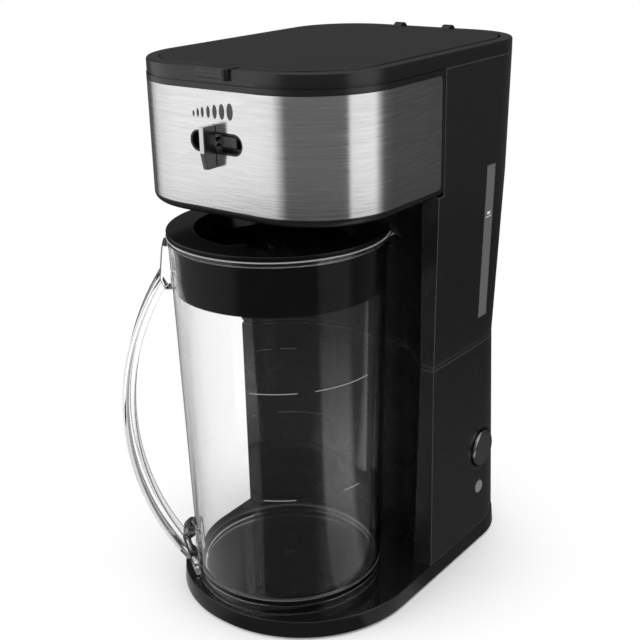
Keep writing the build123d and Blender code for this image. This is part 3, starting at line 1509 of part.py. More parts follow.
# ---------------------------------------------------------------- plumbing
valve_top_z = seam_z
valve_low_z = valve_top_z - valve_length
barb_low_z = valve_low_z - 10.0
with BuildPart() as check_valve:
    with BuildSketch(Plane.XZ):
        with BuildLine():
            Polyline((valve_seat_radius, barb_low_z), (tube_radius, barb_low_z),
                     (tube_radius, valve_low_z), (valve_radius, valve_low_z),
                     (valve_radius, valve_top_z), (valve_bore - 2.0, valve_top_z),
                     (valve_bore - 2.0, valve_top_z - 2.0), (valve_bore, valve_top_z - 4.0),
                     (valve_bore, valve_low_z + 4.0), (valve_seat_radius, valve_low_z + 2.0),
                     close=True)
        make_face()
    revolve(axis=Axis.Z)
with BuildPart() as check_valve_placed:
    add(check_valve.part.moved(Location((outlet_x, outlet_y, 0))))
check_valve_placed.part.label = "check_valve"
export_step(check_valve_placed.part, "parts/check_valve.step")

seat_slope = atan2(2.0, valve_bore - valve_seat_radius)
ball_rest_z = valve_low_z + 2.0 + ball_radius / cos(seat_slope) - valve_seat_radius * 2.0 / (
    valve_bore - valve_seat_radius) + ball_gap
with BuildPart() as valve_ball:
    with Locations((outlet_x, outlet_y, ball_rest_z)):
        Sphere(ball_radius)
valve_ball.part.label = "valve_ball"
export_step(valve_ball.part, "parts/valve_ball.step")

with BuildPart() as cold_hose:
    add(tube([(outlet_x, outlet_y, valve_low_z - 0.3), (outlet_x, outlet_y, heater_z),
              (heater_left_x - hose_overlap, outlet_y, heater_z)], hose_bend,
             hose_radius, tube_radius + hose_fit_gap))
cold_hose.part.label = "cold_hose"
export_step(cold_hose.part, "parts/cold_hose.step")

riser_low_z = valve_low_z - 10.0
with BuildPart() as hot_hose:
    add(tube([(heater_left_x - hose_overlap, riser_y, heater_z), (riser_x, riser_y, heater_z),
              (riser_x, riser_y, valve_low_z)], hose_bend,
             hose_radius, tube_radius + hose_fit_gap))
hot_hose.part.label = "hot_hose"
export_step(hot_hose.part, "parts/hot_hose.step")

nozzle_top_z = liner_low_z - nozzle_gap
with BuildPart() as riser_tube:
    add(tube([(riser_x, riser_y, riser_low_z), (riser_x, riser_y, riser_run_z),
              (0, nozzle_y, riser_run_z), (0, nozzle_y, nozzle_top_z - 2.0)], riser_bend,
             tube_radius, tube_bore))
riser_tube.part.label = "riser_tube"
export_step(riser_tube.part, "parts/riser_tube.step")

with BuildPart() as riser_nozzle:
    with BuildSketch(Plane.XY.offset(nozzle_top_z - nozzle_height)):
        with Locations((0, nozzle_y)):
            Circle(nozzle_radius)
            Circle(tube_radius + hose_fit_gap, mode=Mode.SUBTRACT)
    extrude(amount=nozzle_height)
    with BuildSketch(Plane.XY.offset(nozzle_top_z - 2.0)):
        with Locations((0, nozzle_y)):
            Circle(tube_radius + hose_fit_gap)
            Circle(tube_bore, mode=Mode.SUBTRACT)
    extrude(amount=2.0)
    # arm back to the tank's front wall
    arm_back_y = nozzle_y - nozzle_radius + 1.0
    with BuildSketch(Plane.XY.offset(nozzle_top_z - nozzle_height)):
        with Locations((0, (head_back_y + column_wall + arm_back_y) / 2)):
            Rectangle(nozzle_radius, arm_back_y - head_back_y - column_wall)
    extrude(amount=nozzle_height / 2)
riser_nozzle.part.label = "riser_nozzle"
export_step(riser_nozzle.part, "parts/riser_nozzle.step")

with BuildPart() as riser_seal:
    with BuildSketch(Plane.XY.offset(tank_inside_z)):
        with Locations((riser_x, riser_y)):
            Circle(seal_radius)
    extrude(amount=seal_height - tank_floor)
    with BuildSketch(Plane.XY.offset(seam_z)):
        with Locations((riser_x, riser_y)):
            Circle(seal_radius - 2.0 - screw_gap)
    extrude(amount=tank_floor)
    with BuildSketch(Plane.XY.offset(seam_z)):
        with Locations((riser_x, riser_y)):
            Circle(tube_radius + hose_fit_gap)
    extrude(amount=seal_height, mode=Mode.SUBTRACT)
riser_seal.part.label = "riser_seal"
export_step(riser_seal.part, "parts/riser_seal.step")

with BuildPart() as outlet_strainer:
    with BuildSketch(Plane.XY.offset(tank_inside_z)):
        with Locations((outlet_x, outlet_y)):
            Circle(strainer_radius)
    extrude(amount=strainer_height)
    with BuildSketch(Plane.XY.offset(tank_inside_z)):
        with Locations((outlet_x, outlet_y)):
            Circle(strainer_radius - 1.2)
    extrude(amount=strainer_height - 1.2, mode=Mode.SUBTRACT)
    with BuildSketch(Plane.XY.offset(tank_inside_z)):
        with Locations((outlet_x, outlet_y)):
            with GridLocations(3.6, 3.6, 4, 4):
                Circle(0.9)
    extrude(amount=strainer_height, mode=Mode.SUBTRACT)
outlet_strainer.part.label = "outlet_strainer"
export_step(outlet_strainer.part, "parts/outlet_strainer.step")

clip_bore = hose_radius + 0.05
with BuildPart() as hose_clips:
    for y in (heater_front_y, heater_rear_y):
        with BuildSketch(Plane.YZ.offset(tube_left_x + clip_inset)):
            with Locations((y, heater_z)):
                Circle(clip_bore + clip_thickness)
                Circle(clip_bore, mode=Mode.SUBTRACT)
            with Locations((y, heater_z - clip_bore - clip_thickness - 2.0)):
                Rectangle(4.0, 5.0)
        extrude(amount=clip_width)
        with BuildSketch(Plane.XY.offset(valve_low_z - 8.0)):
            with Locations((hose_x, y)):
                Circle(clip_bore + clip_thickness)
                Circle(clip_bore, mode=Mode.SUBTRACT)
            with Locations((hose_x + clip_bore + clip_thickness + 2.0, y)):
                Rectangle(5.0, 4.0)
        extrude(amount=clip_width)
hose_clips.part.label = "hose_clips"
export_step(hose_clips.part, "parts/hose_clips.step")

# ---------------------------------------------------------------- mains inlet and wiring
terminal_places = [(terminal_block_x, terminal_block_y + k * terminal_block_length / 3)
                   for k in (-1, 0, 1)]
with BuildPart() as cord_gland:
    with BuildSketch(Plane.XZ.offset(-gland_wall_y - gland_flange)):
        with Locations((gland_x, gland_z)):
            Circle(gland_radius)
    extrude(amount=gland_depth + gland_flange)
    with BuildSketch(Plane.XZ.offset(-gland_wall_y - gland_flange - 0.4)):
        with Locations((gland_x, gland_z)):
            Circle(gland_flange_radius)
    extrude(amount=gland_flange - 0.4)
    with BuildSketch(Plane.XZ.offset(-gland_wall_y - 2 * gland_flange)):
        with Locations((gland_x, gland_z)):
            Circle(gland_bore)
    extrude(amount=gland_depth + 4 * gland_flange, mode=Mode.SUBTRACT)
cord_gland.part.label = "cord_gland"
export_step(cord_gland.part, "parts/cord_gland.step")

with BuildPart() as terminal_block:
    with BuildSketch(Plane.XY.offset(cover_top_z)):
        with Locations((terminal_block_x, terminal_block_y)):
            Rectangle(terminal_block_width, terminal_block_length)
    extrude(amount=terminal_block_height)
    with BuildSketch(Plane.XY.offset(cover_top_z + terminal_block_height)):
        with Locations(*terminal_places):
            Circle(2.4)
    extrude(amount=-terminal_hole_depth, mode=Mode.SUBTRACT)
terminal_block.part.label = "terminal_block"
export_step(terminal_block.part, "parts/terminal_block.step")

lead_start_z = cover_top_z + terminal_block_height - terminal_hole_depth
lead_board_z = board_low_z + 3 * board_post_inset
tab_top = heater_top_z + thermostat_height + thermostat_tab
terminal_end_x = heater_left_x - element_end - terminal_length
drop_x = terminal_end_x - terminal_drop
fuse_left_x = bracket_centre_x - fuse_length / 2
fuse_right_x = bracket_centre_x + fuse_length / 2
first, middle, last = [(x, y, lead_start_z) for x, y in terminal_places]
tab_y = [heater_mid_y - tab_pitch / 2, heater_mid_y + tab_pitch / 2]
high_z = tab_top + 3.5 * lead_spacing
mid_z = tab_top + 2.5 * lead_spacing
low_z = tab_top + 1.5 * lead_spacing
lead_routes = [
    [last, (last[0], last[1], lead_board_z), (board_x, last[1], lead_board_z)],
    [first, (first[0], first[1], high_z), (thermostat_x, tab_y[0], high_z),
     (thermostat_x, tab_y[0], tab_top)],
    [(thermostat_x, tab_y[1], tab_top), (thermostat_x, tab_y[1], mid_z),
     (drop_x, heater_rear_y, mid_z), (drop_x, heater_rear_y, element_z),
     (terminal_end_x, heater_rear_y, element_z)],
    [(terminal_end_x, heater_front_y, element_z), (drop_x, heater_front_y, element_z),
     (drop_x, heater_front_y, low_z), (fuse_left_x - lead_fuse_gap, heater_rear_y, low_z),
     (fuse_left_x - lead_fuse_gap, heater_rear_y, fuse_z), (fuse_left_x, heater_rear_y, fuse_z)],
    [(fuse_right_x, heater_rear_y, fuse_z), (fuse_right_x + lead_fuse_gap, heater_rear_y, fuse_z),
     (fuse_right_x + lead_fuse_gap, heater_rear_y, tab_top + lead_radius),
     (middle[0] - lead_back_x, middle[1] + lead_back_y, tab_top + lead_radius),
     (middle[0], middle[1], tab_top + lead_radius),
     middle],
]
with BuildPart() as wiring:
    for route in lead_routes:
        add(tube(route, lead_bend, lead_radius))
wiring.part.label = "wiring"
export_step(wiring.part, "parts/wiring.step")
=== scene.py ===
from math import cos, pi, radians, sin

import bmesh
import bpy
import numpy as np
from mathutils import Matrix, Vector
from mathutils.bvhtree import BVHTree


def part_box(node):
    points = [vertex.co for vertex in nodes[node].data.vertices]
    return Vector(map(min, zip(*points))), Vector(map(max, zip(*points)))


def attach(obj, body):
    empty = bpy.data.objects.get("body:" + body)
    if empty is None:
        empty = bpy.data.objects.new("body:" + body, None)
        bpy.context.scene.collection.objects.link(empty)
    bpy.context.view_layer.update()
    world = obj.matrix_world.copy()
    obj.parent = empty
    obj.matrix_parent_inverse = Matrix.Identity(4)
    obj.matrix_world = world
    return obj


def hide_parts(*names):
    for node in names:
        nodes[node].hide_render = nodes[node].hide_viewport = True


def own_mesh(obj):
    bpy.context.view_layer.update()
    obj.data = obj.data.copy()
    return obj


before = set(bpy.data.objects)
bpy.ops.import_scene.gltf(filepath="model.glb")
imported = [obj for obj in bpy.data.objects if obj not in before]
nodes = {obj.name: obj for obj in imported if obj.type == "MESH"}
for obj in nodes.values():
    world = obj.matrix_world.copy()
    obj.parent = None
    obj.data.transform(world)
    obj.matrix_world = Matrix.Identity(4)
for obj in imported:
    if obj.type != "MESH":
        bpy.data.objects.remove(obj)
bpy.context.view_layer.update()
MM = 0.001

# ------------------------------------------------------------------ camera
# Where the photographer stood, in mm and radians, in the machine's own frame.
turn, distance, height = 0.6874, 619.37, 413.37
yaw, pitch, roll, focal_px = -0.0367, -0.3637, -0.0219, 1121.87
picture_px, sensor_mm = 640.0, 36.0


def place_camera():
    """Camera from its bearing round the pitcher's axis, then yaw, pitch and roll of its view."""
    bearing = turn + yaw
    flat = Vector((-sin(bearing), cos(bearing), 0.0))
    ahead = flat * cos(pitch) + Vector((0, 0, 1)) * sin(pitch)
    side = Vector((cos(bearing), sin(bearing), 0.0))
    above = side.cross(ahead)
    right = side * cos(roll) + above * sin(roll)
    top = above * cos(roll) - side * sin(roll)
    lens = bpy.data.cameras.new("camera")
    lens.sensor_width = sensor_mm
    lens.lens = focal_px * sensor_mm / picture_px
    lens.clip_start, lens.clip_end = 0.01, 50.0
    camera = bpy.data.objects.new("camera", lens)
    bpy.context.scene.collection.objects.link(camera)
    turned = Matrix((right, top, -ahead)).transposed().to_4x4()
    turned.translation = Vector((distance * sin(turn), -distance * cos(turn), height)) * MM
    camera.matrix_world = turned
    bpy.context.scene.camera = camera


place_camera()


# ------------------------------------------------------------------ material writing
class Value:
    """An output socket that arithmetic turns into Math nodes."""

    def __init__(self, board, socket):
        self.board, self.socket = board, socket

    def join(self, operation, first, second):
        return self.board.add("Math", {"operation": operation}, {0: first, 1: second})

    def __add__(self, other):
        return self.join("ADD", self, other)

    def __radd__(self, other):
        return self.join("ADD", other, self)

    def __sub__(self, other):
        return self.join("SUBTRACT", self, other)

    def __rsub__(self, other):
        return self.join("SUBTRACT", other, self)

    def __mul__(self, other):
        return self.join("MULTIPLY", self, other)

    def __rmul__(self, other):
        return self.join("MULTIPLY", other, self)

    def __truediv__(self, other):
        return self.join("DIVIDE", self, other)

    def __pow__(self, other):
        return self.join("POWER", self, other)


class Board:
    """The node tree of one material, or of the world."""

    def __init__(self, name, tree=None):
        if tree is None:
            self.material = bpy.data.materials.new(name)
            self.material.use_nodes = True
            tree = self.material.node_tree
        self.tree = tree
        self.tree.nodes.clear()

    def add(self, kind, settings=None, sockets=None, out=0):
        """A node of that type, its settings first, then its sockets' values or links."""
        node = self.tree.nodes.new("ShaderNode" + kind)
        for key, value in (settings or {}).items():
            if key == "stops":
                ramp = node.color_ramp
                while len(ramp.elements) < len(value):
                    ramp.elements.new(0.5)
                for element, (place, shade) in zip(ramp.elements, value):
                    element.position, element.color = place, (shade, shade, shade, 1.0)
            else:
                setattr(node, key, value)
        for key, value in (sockets or {}).items():
            if isinstance(value, Value):
                self.tree.links.new(value.socket, node.inputs[key])
            else:
                node.inputs[key].default_value = value
        return Value(self, node.outputs[out])

    def place(self):
        """Position in the machine's frame, in metres."""
        return self.add("TexCoord", out=3)

    def stretched(self, scale):
        """That position, stretched by three factors."""
        return self.add("Mapping", {"vector_type": "POINT"},
                        {"Vector": self.place(), "Scale": scale})

    def noise(self, scale, detail=2.0, rough=0.5, vector=None):
        return self.add("TexNoise", None, {"Vector": vector or self.place(), "Scale": scale,
                                           "Detail": detail, "Roughness": rough})

    def span(self, value, low, high):
        """A 0..1 value spread over low..high."""
        return value * (high - low) + low

    def mix(self, amount, first, second):
        return self.add("Mix", {"data_type": "RGBA"}, {0: amount, 6: first, 7: second}, out=2)

    def greater(self, first, second):
        return self.add("Math", {"operation": "MAXIMUM"}, {0: first, 1: second})

    def blend(self, value, start, end, low, high, smooth=True):
        """low up to start, then on to high at end, eased where smooth."""
        kind = "SMOOTHSTEP" if smooth else "LINEAR"
        return self.add("MapRange", {"interpolation_type": kind},
                        {0: value, 1: start, 2: end, 3: low, 4: high})

    def edges(self, radius, full, top):
        """0 on flat faces, rising to top where the surface turns by 1 - cos = full or more
        within that radius."""
        rounded = self.add("Bevel", {"samples": 6}, {"Radius": radius})
        turned = self.add("VectorMath", {"operation": "DOT_PRODUCT"},
                          {0: rounded, 1: self.add("NewGeometry", out=1)}, out=1)
        return self.blend(1.0 - turned, 0.01, full, 0.0, top)

    def bump(self, height, strength, distance):
        return self.add("Bump", None, {"Height": height, "Strength": strength,
                                       "Distance": distance})

    def finish(self, shader, kind="OutputMaterial"):
        """Ends the tree at its output."""
        node = self.tree.nodes.new("ShaderNode" + kind)
        self.tree.links.new(shader.socket, node.inputs["Surface"])


def grey(level):
    return (level, level, level, 1.0)


def tinted(level, tint):
    return (level * tint[0], level * tint[1], level * tint[2], 1.0)


def moulded(name, low, high, shine, spread, grain=0.0, grain_scale=900.0, tint=(1, 1, 1),
            edge_highlight=0.0, gloss=0.5):
    """Moulded plastic: a faint cloudy colour, uneven gloss and, where asked, a fine grain and
    a painted highlight that turns edges paler within a millimetre."""
    b = Board(name)
    cloud = b.noise(9.0, 3.0)
    rub = b.noise(38.0, 3.0, 0.5)
    grit = b.noise(grain_scale, 2.0)
    colour = b.mix(cloud, tinted(low, tint), tinted(high, tint))
    # painted highlight: near a turned edge the colour is mixed toward a pale grey
    if edge_highlight:
        colour = b.mix(b.edges(0.8 * MM, 0.20, 1.0), colour, grey(edge_highlight))
    b.finish(b.add("BsdfPrincipled", None, {
        "Base Color": colour,
        "Roughness": b.span(rub, shine, shine + spread), "IOR": 1.5,
        "Specular IOR Level": gloss,
        "Normal": b.bump(grit, 0.04 + grain * 0.3, 0.00008)}))
    return b.material


def brushed(name, low, high, shine):
    """Brushed steel: fine level scratches that run round the panel, in two lengths."""
    b = Board(name)
    fine = b.noise(1.0, 3.0, 0.6, b.stretched((70.0, 70.0, 1700.0)))
    broad = b.noise(1.0, 2.0, 0.5, b.stretched((26.0, 26.0, 650.0)))
    streak = b.blend(fine * 0.6 + broad * 0.4, 0.35, 0.65, 0.0, 1.0, smooth=False)
    b.finish(b.add("BsdfPrincipled", None, {
        "Base Color": b.mix(streak, grey(low), grey(high)), "Metallic": 1.0,
        "Roughness": b.span(streak, shine, shine + 0.09),
        "Normal": b.bump(streak, 0.4, 0.00003)}))
    return b.material


def clear(name, level, highlight_lines):
    """Clear moulded plastic, its colour faintly cloudy, with painted highlights: its edges are
    mixed with a pale grey. Lines at given heights, each a height and half a width in mm and a
    strength, are painted pale the same way."""
    b = Board(name)
    wear = b.noise(60.0, 2.0)
    # painted highlight: a pale grey is mixed in near the edges and along the listed lines
    painted_highlight = b.edges(1.0 * MM, 0.15, 0.40)
    z = b.add("SeparateXYZ", None, {0: b.place()}, out=2)
    for height, half, strength in highlight_lines:
        off = b.add("Math", {"operation": "ABSOLUTE"}, {0: z - height * MM})
        line = b.blend(off, half * MM, (half + 0.3) * MM, strength, 0.0)
        painted_highlight = b.greater(painted_highlight, line)
    pale = b.add("BsdfDiffuse", None, {"Color": grey(0.85)})
    body = b.add("BsdfPrincipled", None, {
        "Base Color": b.mix(wear, grey(level * 0.99), grey(level)),
        "Transmission Weight": 1.0, "IOR": 1.49,
        "Roughness": b.span(wear, 0.0, 0.008)})
    b.finish(b.add("MixShader", None, {0: painted_highlight, 1: body, 2: pale}))
    return b.material


def metal(name, level, shine, scale=500.0):
    """Plain metal with a fine drawn or turned texture."""
    b = Board(name)
    mark = b.noise(scale, 3.0, 0.6)
    b.finish(b.add("BsdfPrincipled", None, {
        "Base Color": b.mix(mark, grey(level * 0.85), grey(level)), "Metallic": 1.0,
        "Roughness": b.span(mark, shine, shine + 0.15),
        "Normal": b.bump(mark, 0.15, 0.0001)}))
    return b.material


# The edge value given to the column, base and lid paints highlights along their edges.
column_black = moulded("column_black", 0.0080, 0.0110, 0.22, 0.10, 0.10, edge_highlight=0.13)
base_black = moulded("base_black", 0.0045, 0.0065, 0.07, 0.06, edge_highlight=0.08)
lid_black = moulded("lid_black", 0.0045, 0.0070, 0.32, 0.08, 0.5, 1400.0, edge_highlight=0.07)
rim_black = moulded("rim_black", 0.006, 0.009, 0.20, 0.08, 0.10)
cover_black = moulded("cover_black", 0.0025, 0.0040, 0.12, 0.06, gloss=0.3)
inner_black = moulded("inner_black", 0.012, 0.018, 0.45, 0.15, 0.6)
rubber_black = moulded("rubber_black", 0.012, 0.02, 0.7, 0.15, 1.0)
silicone = moulded("silicone", 0.45, 0.55, 0.5, 0.15, 0.3, 700.0, (1.0, 0.96, 0.9))
natural = moulded("natural", 0.6, 0.7, 0.4, 0.12, 0.2, 700.0, (1.0, 0.98, 0.93))
board_green = moulded("board_green", 0.09, 0.12, 0.35, 0.1, 0.3, 700.0, (0.25, 1.0, 0.45))
ceramic = moulded("ceramic", 0.7, 0.8, 0.5, 0.12, 0.5)
smoky = moulded("smoky", 0.10, 0.13, 0.20, 0.06, 0.0, 700.0, (0.94, 0.98, 1.0))
light_grey = moulded("light_grey", 0.16, 0.22, 0.16, 0.06)
mesh_cloth = moulded("mesh_cloth", 0.35, 0.6, 0.5, 0.1, 1.0, 2400.0, (1.0, 0.8, 0.45))
button_black = moulded("button_black", 0.005, 0.008, 0.10, 0.06)
slider_grey = moulded("slider_grey", 0.10, 0.13, 0.35, 0.10)
ink = moulded("ink", 0.030, 0.045, 0.30, 0.08)
frosted = moulded("frosted", 0.26, 0.34, 0.45, 0.10)
panel_steel = brushed("panel_steel", 0.63, 0.79, 0.10)
knob_chrome = metal("knob_chrome", 0.66, 0.14, 60.0)
button_chrome = metal("button_chrome", 0.36, 0.06, 60.0)
zinc = metal("zinc", 0.62, 0.30)
cast = metal("cast", 0.60, 0.45, 260.0)
# Painted highlight lines along the bead, the rim and the floor's inner corner.
clear_plastic = clear("clear_plastic", 0.998, (
    (231.5, 0.12, 0.25),    # bead below the rim
    (234.3, 0.35, 0.34),    # rim
    (22.5, 0.20, 0.14)))    # inner corner at the floor

finishes = {
    base_black: ["base_plate"],
    column_black: ["lower_housing", "tank_shell"],
    rim_black: ["head_shell", "lid_frame", "slot_bezel"],
    lid_black: ["lid"],
    cover_black: ["pitcher_lid"],
    knob_chrome: ["strength_knob"],
    button_black: ["button_bezel"],
    button_chrome: ["start_button"],
    inner_black: ["base_cover", "brew_deck", "brew_basket", "filter_frame", "lid_liner",
                  "bypass_gate", "riser_tube", "riser_nozzle",
                  "outlet_strainer", "start_switch", "thermostat"],
    rubber_black: ["feet", "cord_gland", "wiring"],
    silicone: ["cold_hose", "hot_hose", "riser_seal"],
    natural: ["check_valve", "valve_ball", "terminal_block", "indicator_lamp"],
    board_green: ["control_board"],
    ceramic: ["thermal_fuse"],
    smoky: ["water_window"],
    slider_grey: ["strength_slider"],
    light_grey: ["indicator_lens"],
    mesh_cloth: ["filter_mesh"],
    panel_steel: ["front_panel"],
    zinc: ["base_screws", "tank_screws", "head_screws", "board_screws", "bracket_screws",
           "hinge_pins", "button_spring", "hose_clips", "heater_brackets", "heater_element"],
    cast: ["heater_block", "heater_tube"],
    clear_plastic: ["pitcher_body", "pitcher_handle"],
}
for material, names in finishes.items():
    for name in names:
        nodes[name].data.materials.clear()
        nodes[name].data.materials.append(material)


def soften(name, width):
    """Small round on a moulding's sharp edges, its loose triangles welded first."""
    weld = nodes[name].modifiers.new("weld", "WELD")
    weld.merge_threshold = 1e-6
    bevel = nodes[name].modifiers.new("soft_edges", "BEVEL")
    bevel.width, bevel.segments, bevel.limit_method = width * MM, 3, "ANGLE"
    bevel.angle_limit = radians(40)
    bevel.harden_normals = False


# each with the width of its round, in mm
for name, width in (("tank_shell", 0.9), ("lower_housing", 0.9), ("base_plate", 0.5),
                    ("strength_knob", 0.3), ("lid_frame", 0.45), ("head_shell", 0.4),
                    ("lid", 0.35)):
    soften(name, width)


# ------------------------------------------------------------------ surfaces
def make_object(name, vertices, faces, material, smooth_angle=35.0):
    """Mesh object from points in mm: doubled points joined, faces turned outwards, smooth."""
    mesh = bpy.data.meshes.new(name)
    mesh.from_pydata((np.asarray(vertices) * MM).tolist(), [], faces)
    work = bmesh.new()
    work.from_mesh(mesh)
    bmesh.ops.remove_doubles(work, verts=work.verts, dist=1e-7)
    bmesh.ops.recalc_face_normals(work, faces=work.faces)
    work.to_mesh(mesh)
    work.free()
    shade(mesh, smooth_angle)
    mesh.materials.append(material)
    piece = bpy.data.objects.new(name, mesh)
    bpy.context.scene.collection.objects.link(piece)
    return piece


def shade(mesh, angle):
    """Smooth shading with edges sharper than the angle kept sharp."""
    mesh.polygons.foreach_set("use_smooth", np.ones(len(mesh.polygons), bool))
    mesh.set_sharp_from_angle(angle=radians(angle))


def grid_faces(rows, columns):
    """Four-sided faces of a grid of points, its columns closed into a loop."""
    i = np.arange(rows - 1)[:, None]
    j = np.arange(columns)[None, :]
    k = (j + 1) % columns
    first = i * columns
    quads = np.stack((first + j, first + k, first + columns + k, first + columns + j), axis=-1)
    return quads.reshape(-1, 4).tolist()


def surface(name, points, material, smooth_angle=35.0):
    """Closed surface from a grid (rows, columns, 3) whose columns run round and whose first and
    last rows are either single points or flat ends that are capped."""
    points = np.asarray(points, float)
    rows, columns = points.shape[:2]
    faces = grid_faces(rows, columns)
    for row in (0, rows - 1):
        if np.ptp(points[row], axis=0).max() > 1e-6:
            faces.append((row * columns + np.arange(columns)).tolist())
    return make_object(name, points.reshape(-1, 3), faces, material, smooth_angle)


def rounded_path(corners, radii, closed=False, steps=5, longest=1e9):
    """Points along a broken line whose corners P are rounded by P + (1-s)^2 t a + s^2 t b,
    with a and b the unit directions to its neighbours, t the radius, and s from 0 to 1."""
    corners = np.asarray(corners, float)
    path = []
    count = len(corners)
    for k, (corner, radius) in enumerate(zip(corners, radii)):
        if radius == 0 or (not closed and k in (0, count - 1)):
            path.append(corner)
            continue
        back, onward = corners[(k - 1) % count] - corner, corners[(k + 1) % count] - corner
        a, b = back / np.linalg.norm(back), onward / np.linalg.norm(onward)
        for s in np.linspace(0, 1, steps):
            path.append(corner + (1 - s) ** 2 * radius * a + s ** 2 * radius * b)
    if closed:
        path.append(path[0])
    fine = [path[0]]
    for start, end in zip(path[:-1], path[1:]):
        parts = max(1, int(np.ceil(np.linalg.norm(end - start) / longest)))
        fine += [start + (end - start) * (n + 1) / parts for n in range(parts)]
    return np.array(fine[:-1] if closed else fine)


def turned_round(radial, along, z, bearing):
    """Points from distance out, distance along the tangent and height, for one bearing."""
    return np.stack((radial * cos(bearing) - along * sin(bearing),
                     radial * sin(bearing) + along * cos(bearing), z + 0 * radial), axis=-1)


# ------------------------------------------------------------------ pitcher and handle
# All in mm: heights z, radii r, and bearings counted from +X towards +Y.
foot_z, foot_r, rim_z, rim_r = 11.9, 57.8, 234.5, 63.0
wall, floor_z, floor_low_z = 2.5, 20.3, 17.7
bead_z, bead_out, rim_out = 231.1, 1.25, 1.3
spout_bearing, spout_out, spout_fall, spout_low_z = radians(41.0), 7.0, 8.0, 212.5
handle_bearing = radians(221.0)
bow_r, bow_z, bow_radius = -66.7, 121.5, 163.0
pad_half_width, pad_sunk = 11.5, 0.8


def wall_radius(z):
    """Outside radius of the pitcher: R(z) = Rf + (Rr - Rf) (z - zf) / (zr - zf)."""
    return foot_r + (rim_r - foot_r) * (z - foot_z) / (rim_z - foot_z)


def pitcher_shape():
    """Profile (r, z) turned round Z. Near the spout, over the angle q from its middle,
    r grows by D B(z) S(q) and z falls by F B(z)^2 S(q), with B a smooth step from the
    spout's foot to the rim and S(q) = (1 - sqrt((q / w)^2 + e)) / (1 - sqrt(e)), cut at 0."""
    bead = wall_radius(bead_z)
    profile = rounded_path(
        [(0, floor_low_z), (foot_r - wall, floor_low_z), (foot_r - wall, foot_z),
         (foot_r, foot_z), (bead, bead_z), (bead + bead_out, bead_z + 0.8),
         (rim_r + rim_out, rim_z),
         (rim_r - wall, rim_z), (wall_radius(floor_z) - wall, floor_z),
         (2.6, floor_z), (1.7, floor_z + 0.7), (0, floor_z + 0.7)],
        [0, 0.8, 0.5, 0.9, 0.6, 0.7, 1.0, 0.9, 4.5, 0.5, 0.5, 0], steps=6, longest=3.0)
    angles = np.unique(np.concatenate((
        np.linspace(-pi, pi, 225)[:-1], np.linspace(-0.3, 0.3, 71))).round(6)) + spout_bearing
    r, z = profile[:, :1], profile[:, 1:]
    t = np.clip((z - spout_low_z) / (rim_z - spout_low_z), 0, 1)
    grow = t * t * (3 - 2 * t)
    q = angles[None, :] - spout_bearing
    e = 0.012
    spread = 0.05 + 0.17 * grow
    shape = np.clip((1 - np.sqrt((q / spread) ** 2 + e)) / (1 - e ** 0.5), 0, 1) ** 1.25
    radius = r + spout_out * grow * shape
    level = z - spout_fall * grow ** 2 * shape
    return np.stack((radius * np.cos(angles), radius * np.sin(angles), level), axis=-1)


def handle_bow():
    """Tee section (u, v) swept on an arc of angle p: r = rc + (R - v) cos p,
    z = zc + (R - v) sin p, with u along the tangent of the pitcher's wall."""
    section = rounded_path(
        [(-10, 0), (10, 0), (10, 3), (5.5, 3), (5.5, 6.8), (-5.5, 6.8), (-5.5, 3), (-10, 3)],
        [1.1, 1.1, 1.1, 0.8, 1.1, 1.1, 0.8, 1.1], closed=True, steps=5)
    p = np.linspace(radians(-36.5), radians(35.0), 110)[:, None]
    u, v = section[None, :, 0], section[None, :, 1]
    reach = bow_radius - v
    return turned_round(bow_r + reach * np.cos(p), u + 0 * p, bow_z + reach * np.sin(p),
                        handle_bearing)


def handle_root(levels, depths):
    """Pad on the wall. At height z its outline is a superellipse of power 5 between the wall
    and the depth d(z) out of it; both shrink by (1 - |2h - 1|^8)^(1/8) at its ends."""
    h = (1 - np.cos(np.linspace(0, pi, 40)))[:, None] / 2
    t = np.linspace(0, 2 * pi, 49)[None, :-1]
    z = levels[0] + (levels[-1] - levels[0]) * h
    ends = np.clip(1 - np.abs(2 * h - 1) ** 8, 0, 1) ** 0.125
    c, s = (np.sign(f) * np.abs(f) ** 0.4 for f in (np.cos(t), np.sin(t)))
    u = pad_half_width * ends * c
    low = np.sqrt(wall_radius(z) ** 2 - u ** 2) - pad_sunk
    high = wall_radius(z) + np.interp(z, levels, depths)
    radial = (high + low) / 2 + (high - low) / 2 * s * ends
    return turned_round(radial, u, z, handle_bearing)


def united(pieces, name):
    """The first piece joined with the others into one closed skin."""
    base = pieces[0]
    for extra in pieces[1:]:
        join = base.modifiers.new("join", "BOOLEAN")
        join.operation, join.solver, join.object = "UNION", "EXACT", extra
    bpy.context.view_layer.update()
    ready = base.evaluated_get(bpy.context.evaluated_depsgraph_get())
    mesh = bpy.data.meshes.new_from_object(ready)
    mesh.name = name
    for piece in pieces:
        old = piece.data
        bpy.data.objects.remove(piece)
        bpy.data.meshes.remove(old)
    result = bpy.data.objects.new(name, mesh)
    bpy.context.scene.collection.objects.link(result)
    shade(mesh, 35.0)
    return result


clear_pitcher = united([
    surface("pitcher_shape", pitcher_shape(), clear_plastic),
    surface("handle_bow", handle_bow(), clear_plastic),
    surface("upper_root", handle_root([202.5, 210.5, 229.5], [3.9, 6.6, 3.8]), clear_plastic),
    surface("lower_root", handle_root([12.2, 27.5, 39.5, 44.0], [2.4, 5.4, 8.2, 4.0]),
            clear_plastic),
], "clear_pitcher")
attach(clear_pitcher, "pitcher")
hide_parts("pitcher_body", "pitcher_handle")


